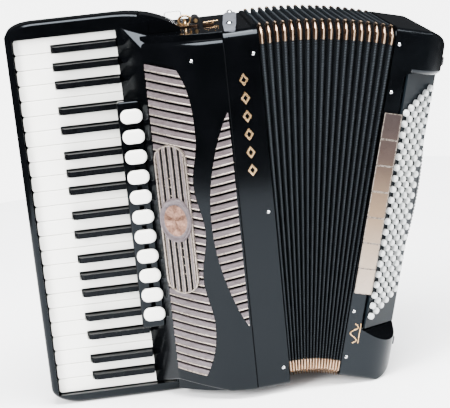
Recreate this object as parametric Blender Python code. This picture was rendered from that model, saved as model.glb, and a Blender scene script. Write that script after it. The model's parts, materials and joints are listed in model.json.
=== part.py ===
"""A full-size piano accordion: 41 piano keys, 120 bass buttons, bellows fanned open at the top.

Frame: metres, +Z up, +Y from the grille to the player's chest, +X from the treble to the bass.
Most sizes are given in the instrument's own coordinates: x = 0 where the bellows meet the treble
case, y = 0 at the bellows' front, z = 0 at the bellows' bottom. The root empty moves them so that
the keyboard frame stands on the floor and the origin lies under the middle of the whole object.
The bass side and the bellows frames turn about one fan axis, parallel to Y, at the bellows' foot.
"""

import math

import bmesh
import bpy
from mathutils import Vector

GAP = 0.0003  # left between pieces that touch

# bellows and fan
BELLOWS_HEIGHT = 0.457
DEPTH = 0.200  # from the grille's side to the player's side
FOLDED = 0.0616  # thickness of the closed bellows
CORNER_R = 0.022  # corners of the bellows and of both cases
FAN_ANGLE = math.radians(14.0)  # opening at rest
PIVOT_X = FOLDED / 2
PIVOT_Z = -0.0085
BELLOWS_FRAMES = 4
RIDGES_PER_FRAME = 4
RIDGE_DEPTH = 0.006
BELLOWS_WALL = 0.018

# where the instrument stands
CHEEK_BOTTOM = -0.0194  # underside of the keyboard frame, which is the floor
ORIGIN_X = 0.0351  # instrument x = 0, measured from the middle of the whole object
ORIGIN_Y = -0.0975  # instrument y = 0, likewise

# keyboard
WHITE_KEYS = 24
KEY_PITCH = 0.0196
KEY_TOP_Z = 0.4643  # upper edge of the first white key
KEY_OUTER_X = -0.3007
KEY_INNER_X = -0.1462
KEY_FACE_Y = 0.0655
KEY_BACK_Y = 0.0785
KEY_GAP = 0.0006
BLACK_OUTER_X = -0.2535
BLACK_INNER_X = -0.1465
BLACK_WIDTH = 0.0096
BLACK_FACE_Y = 0.0545
BLACK_CLEARANCE = 0.0008
BLACK_COVER_X = -0.1725  # the raised cap of a black key ends here, before the sloping wall
AXLE_X = -0.152
AXLE_Y = 0.0740
AXLE_R = 0.002
AXLE_SLOT_R = 0.0024
BLACK_BEVEL = (0.006, 0.003)  # at the player's end of a black key, in x and y
# an octave read from F: which white keys have a black key after them, and how far it is shifted
BLACK_AFTER = {0: 0.0034, 1: 0.0, 2: -0.0034, 4: 0.0029, 5: -0.0029}

# keyboard frame
FRAME_LEFT = -0.3100
FRAME_TOP = 0.4850
FRAME_FRONT_Y = 0.0570
FRAME_BACK_Y = 0.1080
BED_Y = 0.0980
POCKET_LEFT = -0.3013
POCKET_MARGIN = 0.0008  # between the keys and the frame's cheeks
FRAME_BASE_RIGHT = -0.150  # right end of the cheek's flat underside
FRAME_TAIL_X = -0.107  # the lower cheek ends here, under the grille
FRAME_TAIL_Z = -0.0183
FRAME_TOP_END = (-0.090, 0.4588)  # the upper cheek sweeps down to here, over the case
FRAME_SWEEP_X = -0.185  # where that sweep starts
FRAME_SWEEP_POWER = 2.6  # it steepens towards its end
FRAME_LOW_CORNER = (0.042, 0.022)  # elliptical corners, in x and z
FRAME_HIGH_CORNER = (0.038, 0.018)

# treble case and grille
CASE_LEFT = -0.1427
CASE_TOP = 0.455
CASE_BOTTOM = -0.010
SEAM_X = -0.0427
WALL = 0.007
GRILLE_BOW = 0.036  # how far the grille falls back from the seam to its left edge
GRILLE_FRONT_Y = -0.005
GRILLE_SPAN = 0.100
GRILLE_SHELL = 0.0045
CORNER_SHIFT = 0.002  # the inside of the grille's corner lies this much further in
SLOPE_SHELL = 0.006  # the slope's shell, measured across
CASE_SETBACK = 0.0085  # case behind the grille's outer surface
SLOPE_LEFT = -0.1715
SLOPE_FOOT_Y = 0.0648
GRILLE_TOP = 0.4475
GRILLE_BOTTOM = -0.0064
CASE_FACE_Y = 0.002  # narrow face of the case between the seam and the bellows
CHAMBER_FACE_Y = 0.010  # front of the reed chamber
LOUVRE_THICK = 0.0015
LOUVRE_SPAN = (-0.1350, -0.0455)
LOUVRE_HEIGHT = (0.008, 0.430)

# louvre fields, as cut through the grille
FIELD_LOW_Z = 0.016
FIELD_HIGH_Z = 0.420
FIELD_LEFT = -0.1395
WAVE_X = -0.0931  # mean right edge of the left field
WAVE_SWELL = 0.0044
WAVE_PITCH = 0.1225
WAVE_CREST_Z = 0.083
WAVE_LAST_CREST_Z = 0.328
FIELD_END_X = -0.1065  # the right edge is drawn in to here at both ends
LEAF_RIGHT = -0.0465  # straight edge of the right field, beside the seam
LEAF_Z = (0.078, 0.357)
LEAF_WIDTH = 0.034

# treble reed blocks
TREBLE_BLOCKS = 3
TREBLE_BLOCK_PITCH = 0.050
TREBLE_BLOCK_Y = 0.030
TREBLE_BLOCK_TOP_X = -0.006
TREBLE_BLOCK_DEPTH = 0.030
TREBLE_BLOCK_Z = (0.020, 0.425)
REED_TAPER = 0.006
REED_BASE = 0.004

# register board and treble registers
BOARD_LEFT = -0.1810
BOARD_FACE_Y = 0.0400
BOARD_UNDER_Y = 0.0525  # clear of the black keys, which pass under it
BOARD_LOW_Z = 0.0770
BOARD_HIGH_Z = 0.3760
REGISTERS = 11
REGISTER_PITCH = 0.0261
REGISTER_X = -0.1655
REGISTER_TOP_Z = 0.3573
REGISTER_CAP = (0.0140, 0.0100, 0.007)  # half width, half height and corner of a switch cap
REGISTER_CAP_OUT = (0.0028, 0.0052)  # back and front of the caps, in front of the board
REGISTER_RAIL_HALF = 0.0045
REGISTER_RAIL_END = 0.0070
REGISTER_RAIL_DEPTH = 0.0050
REGISTER_CLEARANCE = 0.0010
REGISTER_TRAVEL = 0.0025

# bass side, before it turns with the fan
BASS_LEFT = FOLDED + GAP
BASS_RIGHT = 0.1325
BASS_CORNER_R = 0.028
BASS_FRONT_R = 0.040
BASS_BACK_R = 0.020
BASS_CHAMBER_FRONT = ((0.05, 0.010), (0.076, 0.010), (0.114, 0.062))  # clear of the slanted board
BASS_CHAMBER_SIDE_Y = 0.085
BASS_CHAMBER_CORNER = 0.025
BASS_CHAMBER_END = 0.030
CHAMFER_START = (0.0845, 0.0010)  # the button board's inner edge, in x and y
CHAMFER_ANGLE = math.radians(47.8)  # from X towards Y
CHAMFER_LENGTH = 0.0710
RECESS_REACH = (-0.010, 0.120)  # the recess, along the slant
RECESS_FRONT = 0.090
RECESS_LOW_Z = 0.062
RECESS_HIGH_Z = 0.403
PLATE_THICK = 0.003
BUTTON_ROWS = 6
BUTTONS_PER_ROW = 20
BUTTON_PITCH = 0.01407
BUTTON_ROW_PITCH = 0.0102
BUTTON_STAGGER = 0.0060  # each row starts this much higher than the one inside it
BUTTON_FIRST_ROW = 0.0065
BUTTON_TOP_Z = 0.3530
BUTTON_R = 0.0048
BUTTON_LIFT = 0.0033  # under side of the caps above the board, which is their travel
BUTTON_CAP = 0.0030
BUTTON_WEB = 0.0010  # half width of the bars across the rows
BUTTON_BAR_OUT = (0.0040, 0.0054)  # under and upper side of those bars above the board
BUTTON_BAR_ROWS = (4.5, 14.5)  # the bars cross between buttons, counted from the top
BASS_REGISTERS = 7
BASS_REGISTER_PITCH = 0.0337
BASS_REGISTER_TOP_Z = 0.3515
BASS_PLATE_X = (0.0632, 0.0832)
BASS_PLATE_Y = (-0.0034, -0.0022)
BASS_PLATE_GAP = 0.0004
BASS_RAIL_X = (0.0655, 0.0755)
BASS_RAIL_BACK_Y = 0.0050
BASS_RAIL_END = 0.0020
BASS_RAIL_CLEARANCE = 0.0005
BASS_RAIL_POCKET_Y = 0.0075
FOOT_Y = (0.056, 0.172)
FOOT_Z = (0.042, 0.418)
FOOT_HALF = (0.006, 0.0055)  # in y and z
FOOT_HEIGHT = 0.006
AIR_Y = 0.104
AIR_Z = 0.372
AIR_CAP_R = 0.0065
AIR_CAP_OUT = (0.0045, 0.0085)  # back and front of the cap, out from the case
AIR_STEM_R = 0.0030
AIR_HOLE_R = 0.0036
AIR_STEM_IN = 0.0015
AIR_HOLE_DEPTH = 0.0065
STRAP_LOW_Z = 0.050
STRAP_HIGH_Z = 0.410
STRAP_Y = (0.124, 0.178)
STRAP_BULGE = 0.0175
STRAP_THICK = 0.0035
STRAP_FOOT = 0.035

# bass reed blocks
BASS_BLOCK_BACKS = (0.170, 0.120)  # y of the back of each block
BASS_BLOCK_HEIGHT = 0.048
BASS_BLOCK_DEPTH = 0.032
BASS_BLOCK_Z = (0.040, 0.415)
BASS_BASE_Y = (0.075, 0.185)

LACQUER = ((0.008, 0.009, 0.011), 0.12, 0.0)
CELLULOID = ((0.90, 0.89, 0.84), 0.25, 0.0)
EBONY = ((0.012, 0.013, 0.015), 0.30, 0.0)
STEEL = ((0.62, 0.62, 0.62), 0.25, 1.0)
LOUVRE = ((0.52, 0.46, 0.45), 0.35, 0.8)
CHAMPAGNE = ((0.62, 0.50, 0.42), 0.18, 1.0)
CLOTH = ((0.020, 0.022, 0.026), 0.70, 0.0)
SLATE = ((0.060, 0.085, 0.110), 0.40, 0.0)
PEARL = ((0.72, 0.73, 0.71), 0.25, 0.0)
LEATHER = ((0.018, 0.017, 0.017), 0.55, 0.0)
SPRUCE = ((0.62, 0.46, 0.28), 0.60, 0.0)


def clear_scene():
    for old in list(bpy.data.objects):
        bpy.data.objects.remove(old)


def empty(name, parent=None, location=(0, 0, 0), turn_y=0.0):
    made = bpy.data.objects.new(name, None)
    bpy.context.scene.collection.objects.link(made)
    made.parent = parent
    made.location = location
    made.rotation_euler = (0, turn_y, 0)
    return made


def paint(piece, look):
    colour, roughness, metallic = look
    material = bpy.data.materials.new(piece.name)
    material.use_nodes = True
    shader = material.node_tree.nodes["Principled BSDF"]
    shader.inputs["Base Color"].default_value = (*colour, 1)
    shader.inputs["Roughness"].default_value = roughness
    shader.inputs["Metallic"].default_value = metallic
    piece.data.materials.append(material)


def piece_from(name, bm, parent, look, origin=(0, 0, 0)):
    """An object with its origin at a point given in its parent's coordinates."""
    bmesh.ops.recalc_face_normals(bm, faces=bm.faces)
    bmesh.ops.translate(bm, vec=-Vector(origin), verts=bm.verts)
    mesh = bpy.data.meshes.new(name)
    bm.to_mesh(mesh)
    bm.free()
    made = bpy.data.objects.new(name, mesh)
    bpy.context.scene.collection.objects.link(made)
    made.parent = parent
    made.location = origin
    if look:
        paint(made, look)
    return made


def add_prism(bm, outline, low, high, axis="Z"):
    """An outline of two coordinates, extruded along the third one."""
    def corner(a, b, c):
        return {"X": (c, a, b), "Y": (a, c, b), "Z": (a, b, c)}[axis]
    start = [bm.verts.new(corner(a, b, low)) for a, b in outline]
    face = bm.faces.new(start)
    grown = bmesh.ops.extrude_face_region(bm, geom=[face])["geom"]
    moved = [v for v in grown if isinstance(v, bmesh.types.BMVert)]
    bmesh.ops.translate(bm, vec=Vector(corner(0, 0, high - low)), verts=moved)


def prism(name, outline, low, high, axis, parent, look, origin=(0, 0, 0)):
    bm = bmesh.new()
    add_prism(bm, outline, low, high, axis)
    return piece_from(name, bm, parent, look, origin)


def add_box(bm, low, high):
    outline = [(low[0], low[1]), (high[0], low[1]), (high[0], high[1]), (low[0], high[1])]
    add_prism(bm, outline, low[2], high[2])


def box(name, low, high, parent, look):
    bm = bmesh.new()
    add_box(bm, low, high)
    return piece_from(name, bm, parent, look)


def combine(target, tool, operation):
    """A Boolean with a wire guide object as its tool."""
    tool.hide_render = True
    tool.display_type = "WIRE"
    step = target.modifiers.new(tool.name, "BOOLEAN")
    step.operation = operation
    step.solver = "EXACT"
    step.object = tool


def arc(centre, radius, start, end, steps=5):
    """Points on an arc, with its angles in degrees."""
    angles = [math.radians(start + (end - start) * i / steps) for i in range(steps + 1)]
    return [(centre[0] + radius * math.cos(a), centre[1] + radius * math.sin(a)) for a in angles]


def rounded_rectangle(low, high, radius, steps=5):
    (a0, b0), (a1, b1) = low, high
    return (
        arc((a1 - radius, b1 - radius), radius, 0, 90, steps)
        + arc((a0 + radius, b1 - radius), radius, 90, 180, steps)
        + arc((a0 + radius, b0 + radius), radius, 180, 270, steps)
        + arc((a1 - radius, b0 + radius), radius, 270, 360, steps)
    )


def grille_y(x):
    """The grille's front surface: a parabola that is flat at the seam."""
    return GRILLE_FRONT_Y + GRILLE_BOW * ((SEAM_X - x) / GRILLE_SPAN) ** 2


def grille_curve(start_x, end_x, setback, steps=10):
    xs = [start_x + (end_x - start_x) * i / steps for i in range(steps + 1)]
    return [(x, grille_y(x) + setback) for x in xs]


# ---------------------------------------------------------------- treble side


def make_treble_case(root):
    """A wooden box: a reed chamber open to the bellows and a key chamber open under the grille."""
    case = prism(
        "treble_case",
        rounded_rectangle((GRILLE_FRONT_Y, CASE_BOTTOM), (DEPTH, CASE_TOP), CORNER_R),
        CASE_LEFT, -GAP, "X", root, LACQUER,
    )
    front = [(0.01, CASE_FACE_Y), (0, CASE_FACE_Y), (SEAM_X, GRILLE_FRONT_Y)]
    front += grille_curve(SEAM_X, CASE_LEFT, CASE_SETBACK)
    back = [(CASE_LEFT - 0.01, DEPTH + 0.01), (0.01, DEPTH + 0.01)]
    shape = front + [(CASE_LEFT - 0.01, front[-1][1])] + back
    combine(case, prism("case_front_guide", shape, -0.05, 0.50, "Z", root, None), "INTERSECT")
    chamber = box(
        "reed_chamber_guide",
        (SEAM_X, CHAMBER_FACE_Y, CASE_BOTTOM + WALL),
        (0.02, DEPTH - WALL, CASE_TOP - WALL),
        root, None,
    )
    combine(case, chamber, "DIFFERENCE")
    mechanism = box(
        "key_chamber_guide",
        (CASE_LEFT + WALL, -0.02, CASE_BOTTOM + WALL),
        (SEAM_X - 2 * WALL, DEPTH - WALL, CASE_TOP - WALL),
        root, None,
    )
    combine(case, mechanism, "DIFFERENCE")


def make_treble_reeds(root):
    """Three reed blocks on one base, standing in the reed chamber."""
    base_x = SEAM_X + GAP
    face_x = base_x + REED_BASE
    outline = [(base_x, TREBLE_BLOCK_Y - REED_BASE)]
    for i in range(TREBLE_BLOCKS):
        near = TREBLE_BLOCK_Y + i * TREBLE_BLOCK_PITCH
        far = near + TREBLE_BLOCK_DEPTH
        outline += [(face_x, near), (TREBLE_BLOCK_TOP_X, near + REED_TAPER)]
        outline += [(TREBLE_BLOCK_TOP_X, far - REED_TAPER), (face_x, far)]
    outline += [(base_x, outline[-1][1] + REED_BASE)]
    prism("treble_reed_blocks", outline, *TREBLE_BLOCK_Z, "Z", root, SPRUCE)


def wave_edge(z):
    """Right edge of the left louvre field: three swells, drawn in past the outer crests."""
    crest = WAVE_X + WAVE_SWELL
    if z > WAVE_LAST_CREST_Z:
        beyond = (z - WAVE_LAST_CREST_Z) / (FIELD_HIGH_Z - WAVE_LAST_CREST_Z)
        return crest + (FIELD_END_X - crest) * beyond ** 3
    if z < WAVE_CREST_Z:
        beyond = (WAVE_CREST_Z - z) / (WAVE_CREST_Z - FIELD_LOW_Z)
        return crest + (FIELD_END_X - crest) * beyond ** 2.2
    return WAVE_X + WAVE_SWELL * math.cos(2 * math.pi * (z - WAVE_CREST_Z) / WAVE_PITCH)


def make_grille(root):
    """The curved cover over the key chamber, with two louvre fields cut through it."""
    outer = [(SLOPE_LEFT, SLOPE_FOOT_Y)] + grille_curve(CASE_LEFT, SEAM_X - GAP, 0)
    inner = grille_curve(SEAM_X - GAP, CASE_LEFT + CORNER_SHIFT, GRILLE_SHELL)
    inner += [(SLOPE_LEFT + SLOPE_SHELL, SLOPE_FOOT_Y)]
    grille = prism("treble_grille", outer + inner, GRILLE_BOTTOM, GRILLE_TOP, "Z", root, LACQUER)
    heights = [FIELD_LOW_Z + (FIELD_HIGH_Z - FIELD_LOW_Z) * i / 28 for i in range(29)]
    waves = [(wave_edge(z), z) for z in heights]
    left_field = [(FIELD_LEFT, FIELD_LOW_Z), *waves, (FIELD_LEFT, FIELD_HIGH_Z)]
    combine(grille, prism("left_field_guide", left_field, -0.03, 0.06, "Y", root, None), "DIFFERENCE")
    leaf_low, leaf_high = LEAF_Z
    right_field = [(LEAF_RIGHT, leaf_high), (LEAF_RIGHT, leaf_low)]
    for i in range(1, 12):
        share = i / 12
        belly = LEAF_WIDTH * math.sin(math.pi * share) ** 0.8
        right_field.append((LEAF_RIGHT - belly, leaf_low + (leaf_high - leaf_low) * share))
    combine(grille, prism("right_field_guide", right_field, -0.03, 0.03, "Y", root, None), "DIFFERENCE")
    # the louvre plate is curved like the cover and lies just behind it
    left, right = LOUVRE_SPAN
    front = grille_curve(left, right, GRILLE_SHELL + GAP)
    back = grille_curve(right, left, GRILLE_SHELL + GAP + LOUVRE_THICK)
    prism("grille_louvres", front + back, *LOUVRE_HEIGHT, "Z", root, LOUVRE)


def frame_outline():
    """The keyboard frame seen from the front, with its ends sweeping on to the case."""
    case_low, case_high = CASE_BOTTOM - GAP, CASE_TOP + GAP
    bottom = [(CASE_LEFT - GAP, case_low), (FRAME_TAIL_X, case_low), (FRAME_TAIL_X, FRAME_TAIL_Z)]
    bottom += [(FRAME_BASE_RIGHT, CHEEK_BOTTOM)]
    wide, tall = FRAME_LOW_CORNER
    for i in range(7):
        angle = math.pi / 2 * i / 6
        x = FRAME_LEFT + wide - wide * math.sin(angle)
        bottom.append((x, CHEEK_BOTTOM + tall - tall * math.cos(angle)))
    wide, tall = FRAME_HIGH_CORNER
    corner = []
    for i in range(8):
        angle = math.pi / 2 * i / 7
        x = FRAME_LEFT + wide - wide * math.cos(angle)
        corner.append((x, FRAME_TOP - tall + tall * math.sin(angle)))
    end_x, end_z = FRAME_TOP_END
    sweep = []
    for i in range(9):
        share = i / 8
        x = FRAME_SWEEP_X + (end_x - FRAME_SWEEP_X) * share
        sweep.append((x, FRAME_TOP - (FRAME_TOP - end_z) * share ** FRAME_SWEEP_POWER))
    return bottom + corner + sweep + [(end_x, case_high), (CASE_LEFT - GAP, case_high)]


def make_keyboard_frame(root):
    frame = prism("keyboard_frame", frame_outline(), FRAME_FRONT_Y, FRAME_BACK_Y, "Y", root, LACQUER)
    lowest_key = KEY_TOP_Z - WHITE_KEYS * KEY_PITCH
    pocket = box(
        "key_pocket_guide",
        (POCKET_LEFT, FRAME_FRONT_Y - 0.02, lowest_key - POCKET_MARGIN),
        (CASE_LEFT + 0.01, BED_Y, KEY_TOP_Z + POCKET_MARGIN),
        root, None,
    )
    combine(frame, pocket, "DIFFERENCE")
    axle = arc((AXLE_X, AXLE_Y), AXLE_R, 0, 330, 11)
    prism("key_axle", axle, lowest_key - POCKET_MARGIN + GAP, KEY_TOP_Z + POCKET_MARGIN - GAP,
          "Z", root, STEEL)


def axle_slot(back_y):
    """The open slot under a key's tail, from its far side to its near side."""
    round_end = arc((AXLE_X, AXLE_Y), AXLE_SLOT_R, 0, -180, 6)
    return [(AXLE_X + AXLE_SLOT_R, back_y), *round_end, (AXLE_X - AXLE_SLOT_R, back_y)]


def key_profile(outer_x, inner_x, face_y):
    """Side view of a key: its playing face, its tail over the axle, and the axle slot."""
    return [(outer_x, KEY_BACK_Y), (outer_x, face_y), (inner_x, face_y), (inner_x, KEY_BACK_Y),
            *axle_slot(KEY_BACK_Y)]


def black_profile():
    """Side view of a black key: a raised cap, and a lower tail that passes under the sloping wall."""
    bevel_x, bevel_y = BLACK_BEVEL
    tail_y = KEY_FACE_Y + GAP
    return [(BLACK_OUTER_X, KEY_BACK_Y), (BLACK_OUTER_X, BLACK_FACE_Y + bevel_y),
            (BLACK_OUTER_X + bevel_x, BLACK_FACE_Y), (BLACK_COVER_X, BLACK_FACE_Y),
            (BLACK_COVER_X, tail_y), (BLACK_INNER_X, tail_y), (BLACK_INNER_X, KEY_BACK_Y),
            *axle_slot(KEY_BACK_Y)]


def black_centre(number):
    """Height of the black key after a white key counted from 0."""
    return KEY_TOP_Z - (number + 1) * KEY_PITCH + BLACK_AFTER[number % 7]


def has_black(number):
    return number < WHITE_KEYS - 1 and number % 7 in BLACK_AFTER


def make_keys(root):
    """Each key is its own lever, turning about the axle."""
    axle_point = (AXLE_X, AXLE_Y, 0)
    margin = BLACK_WIDTH / 2 + BLACK_CLEARANCE
    blacks = 0
    for i in range(WHITE_KEYS):
        top = KEY_TOP_Z - i * KEY_PITCH - KEY_GAP / 2
        low = top - KEY_PITCH + KEY_GAP
        # the tail is narrower where a black key lies beside it
        tail_top = min(top, black_centre(i - 1) - margin) if i and has_black(i - 1) else top
        tail_low = max(low, black_centre(i) + margin) if has_black(i) else low
        bm = bmesh.new()
        add_prism(bm, key_profile(KEY_OUTER_X, KEY_INNER_X, KEY_FACE_Y), low, top)
        name = f"white_key_{i + 1:02d}"
        key = piece_from(name, bm, root, CELLULOID, (AXLE_X, AXLE_Y, (low + top) / 2))
        for side, (a, b) in {"upper": (tail_top, top), "lower": (low, tail_low)}.items():
            if b - a < KEY_GAP:
                continue
            a = a - KEY_GAP if side == "lower" else a
            b = b + KEY_GAP if side == "upper" else b
            notch = box(f"{name}_{side}_guide", (BLACK_OUTER_X - BLACK_CLEARANCE, 0.05, a),
                        (KEY_INNER_X + 0.01, KEY_BACK_Y + 0.01, b), root, None)
            combine(key, notch, "DIFFERENCE")
        if has_black(i):
            blacks += 1
            centre = black_centre(i)
            half = BLACK_WIDTH / 2
            prism(f"black_key_{blacks:02d}", black_profile(), centre - half, centre + half,
                  "Z", root, EBONY, (AXLE_X, AXLE_Y, centre))


def slope_x(y):
    """The glossy wall that rises from the keys' inner ends to the grille."""
    top_y = grille_y(CASE_LEFT)
    return SLOPE_LEFT + (CASE_LEFT - SLOPE_LEFT) * (SLOPE_FOOT_Y - y) / (SLOPE_FOOT_Y - top_y)


def make_register_board(root):
    """A shelf on the sloping wall, over the keys' inner ends, with the register switches."""
    joint = 3 * GAP  # measured along X, in front of the sloping wall
    outline = [(BOARD_LEFT, BOARD_UNDER_Y), (BOARD_LEFT, BOARD_FACE_Y),
               (slope_x(BOARD_FACE_Y) - joint, BOARD_FACE_Y), (slope_x(BOARD_UNDER_Y) - joint, BOARD_UNDER_Y)]
    board = prism("register_board", outline, BOARD_LOW_Z, BOARD_HIGH_Z, "Z", root, LACQUER)
    low_z = REGISTER_TOP_Z - (REGISTERS - 1) * REGISTER_PITCH
    half, end = REGISTER_RAIL_HALF + REGISTER_CLEARANCE, REGISTER_RAIL_END + REGISTER_CLEARANCE
    channel_y = BOARD_FACE_Y + REGISTER_RAIL_DEPTH + REGISTER_TRAVEL + REGISTER_CLEARANCE
    channel = box("register_channel_guide", (REGISTER_X - half, BOARD_FACE_Y - 0.01, low_z - end),
                  (REGISTER_X + half, channel_y, REGISTER_TOP_Z + end), root, None)
    combine(board, channel, "DIFFERENCE")
    wide, tall, corner = REGISTER_CAP
    near, far = REGISTER_CAP_OUT
    bm = bmesh.new()
    for i in range(REGISTERS):
        z = REGISTER_TOP_Z - i * REGISTER_PITCH
        cap = rounded_rectangle((REGISTER_X - wide, z - tall), (REGISTER_X + wide, z + tall), corner, 3)
        add_prism(bm, cap, BOARD_FACE_Y - far, BOARD_FACE_Y - near, "Y")
    caps = piece_from("register_caps_guide", bm, root, None)
    rail_front = BOARD_FACE_Y - (near + far) / 2
    rail_back = BOARD_FACE_Y + REGISTER_RAIL_DEPTH
    rail = box("treble_registers",
               (REGISTER_X - REGISTER_RAIL_HALF, rail_front, low_z - REGISTER_RAIL_END),
               (REGISTER_X + REGISTER_RAIL_HALF, rail_back, REGISTER_TOP_Z + REGISTER_RAIL_END),
               root, CELLULOID)
    combine(rail, caps, "UNION")


# ---------------------------------------------------------------- bellows


def bellows_frame(number, parent):
    """A ring of folds: its profile runs across the folds, swept round a rounded rectangle."""
    width = FOLDED / BELLOWS_FRAMES
    low = number * width + GAP
    high = (number + 1) * width - GAP
    profile = []
    for i in range(2 * RIDGES_PER_FRAME + 1):
        x = low + (high - low) * i / (2 * RIDGES_PER_FRAME)
        profile.append((x, 0 if i % 2 else RIDGE_DEPTH))
    profile += [(high, BELLOWS_WALL), (low, BELLOWS_WALL)]
    path = rounded_rectangle((0, 0), (DEPTH, BELLOWS_HEIGHT), CORNER_R, 4)
    count = len(path)
    bm = bmesh.new()
    rings = []
    for i, (y, z) in enumerate(path):
        before, after = Vector(path[i - 1]), Vector(path[(i + 1) % count])
        along = (after - before).normalized()
        inward = Vector((-along.y, along.x))
        rings.append([bm.verts.new((x, y + inward.x * d, z + inward.y * d)) for x, d in profile])
    for i in range(count):
        here, there = rings[i], rings[(i + 1) % count]
        for k in range(len(profile)):
            k_next = (k + 1) % len(profile)
            bm.faces.new([here[k], there[k], there[k_next], here[k_next]])
    bmesh.ops.translate(bm, vec=(-PIVOT_X, 0, -PIVOT_Z), verts=bm.verts)
    piece_from(f"bellows_frame_{number + 1}", bm, parent, CLOTH)


def make_bellows(root):
    for i in range(BELLOWS_FRAMES):
        share = (i + 0.5) / BELLOWS_FRAMES
        turner = empty(f"bellows_turner_{i + 1}", root, (PIVOT_X, 0, PIVOT_Z), FAN_ANGLE * share)
        bellows_frame(i, turner)


# ---------------------------------------------------------------- bass side


def chamfer_point(along, out=0.0):
    """A point in x and y on the button board's face, or standing out from it."""
    start_x, start_y = CHAMFER_START
    c, s = math.cos(CHAMFER_ANGLE), math.sin(CHAMFER_ANGLE)
    return (start_x + along * c + out * s, start_y + along * s - out * c)


def make_bass_case(bass):
    """A box open to the bellows, with its outer edges rounded and a slanted recess for the buttons."""
    front_view = [(BASS_LEFT, 0), *arc((BASS_RIGHT - BASS_CORNER_R, BASS_CORNER_R), BASS_CORNER_R, -90, 0),
                  *arc((BASS_RIGHT - BASS_CORNER_R, BELLOWS_HEIGHT - BASS_CORNER_R), BASS_CORNER_R, 0, 90),
                  (BASS_LEFT, BELLOWS_HEIGHT)]
    case = prism("bass_case", front_view, 0, DEPTH, "Y", bass, LACQUER)
    plan = [(0.05, 0), *arc((BASS_RIGHT - BASS_FRONT_R, BASS_FRONT_R), BASS_FRONT_R, -90, 0, 7),
            *arc((BASS_RIGHT - BASS_BACK_R, DEPTH - BASS_BACK_R), BASS_BACK_R, 0, 90), (0.05, DEPTH)]
    combine(case, prism("bass_plan_guide", plan, -0.02, 0.48, "Z", bass, None), "INTERSECT")
    half_y, half_z = FOOT_HALF
    bm = bmesh.new()
    for y in FOOT_Y:
        for z in FOOT_Z:
            add_box(bm, (BASS_RIGHT - FOOT_HEIGHT, y - half_y, z - half_z),
                    (BASS_RIGHT + FOOT_HEIGHT, y + half_y, z + half_z))
    combine(case, piece_from("feet_guide", bm, bass, None), "UNION")
    depth = -(PLATE_THICK + GAP)
    near, far = RECESS_REACH
    recess = [chamfer_point(near, depth), chamfer_point(far, depth), chamfer_point(far, RECESS_FRONT),
              chamfer_point(near, RECESS_FRONT)]
    combine(case, prism("recess_guide", recess, RECESS_LOW_Z, RECESS_HIGH_Z, "Z", bass, None), "DIFFERENCE")
    far_x, far_y = BASS_RIGHT - WALL, DEPTH - WALL
    inside = [*BASS_CHAMBER_FRONT, (far_x, BASS_CHAMBER_SIDE_Y), (far_x, DEPTH - BASS_CHAMBER_CORNER),
              (BASS_RIGHT - BASS_CHAMBER_CORNER, far_y), (BASS_CHAMBER_FRONT[0][0], far_y)]
    hollow = prism("bass_chamber_guide", inside, BASS_CHAMBER_END, BELLOWS_HEIGHT - BASS_CHAMBER_END,
                   "Z", bass, None)
    combine(case, hollow, "DIFFERENCE")
    registers_low = BASS_REGISTER_TOP_Z - BASS_REGISTERS * BASS_REGISTER_PITCH
    rail_left, rail_right = BASS_RAIL_X
    slack = BASS_RAIL_CLEARANCE
    pocket_high = BASS_REGISTER_TOP_Z - BASS_RAIL_END + slack
    pocket = box("bass_register_pocket_guide",
                 (rail_left - slack, -0.01, registers_low + BASS_RAIL_END - slack),
                 (rail_right + slack, BASS_RAIL_POCKET_Y, pocket_high), bass, None)
    combine(case, pocket, "DIFFERENCE")
    hole = prism("air_button_hole_guide", arc((AIR_Y, AIR_Z), AIR_HOLE_R, 0, 330, 11),
                 BASS_RIGHT - AIR_HOLE_DEPTH, BASS_RIGHT + 0.01, "X", bass, None)
    combine(case, hole, "DIFFERENCE")


def make_air_button(bass):
    back, front = AIR_CAP_OUT
    cap = prism("air_button", arc((AIR_Y, AIR_Z), AIR_CAP_R, 0, 330, 11), BASS_RIGHT + back,
                BASS_RIGHT + front, "X", bass, PEARL)
    stem = prism("air_stem_guide", arc((AIR_Y, AIR_Z), AIR_STEM_R, 0, 330, 11), BASS_RIGHT - AIR_STEM_IN,
                 BASS_RIGHT + (back + front) / 2, "X", bass, None)
    combine(cap, stem, "UNION")


def make_bass_reeds(bass):
    """Two reed blocks on one base in the bass chamber, clear of the slanted inner wall."""
    base_x = BASS_LEFT + REED_BASE
    face_x = base_x + REED_BASE
    top_x = base_x + BASS_BLOCK_HEIGHT
    front_y, back_y = BASS_BASE_Y
    outline = [(base_x, front_y), (base_x, back_y), (face_x, back_y)]
    for y in BASS_BLOCK_BACKS:
        outline += [(face_x, y), (top_x, y - REED_TAPER)]
        outline += [(top_x, y - BASS_BLOCK_DEPTH + REED_TAPER), (face_x, y - BASS_BLOCK_DEPTH)]
    outline += [(face_x, front_y)]
    prism("bass_reed_blocks", outline, *BASS_BLOCK_Z, "Z", bass, SPRUCE)


def make_button_board(bass):
    outline = [chamfer_point(GAP), chamfer_point(CHAMFER_LENGTH),
               chamfer_point(CHAMFER_LENGTH - PLATE_THICK, -PLATE_THICK), chamfer_point(GAP, -PLATE_THICK)]
    prism("bass_button_board", outline, RECESS_LOW_Z + GAP, RECESS_HIGH_Z - GAP, "Z", bass, SLATE)


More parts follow.
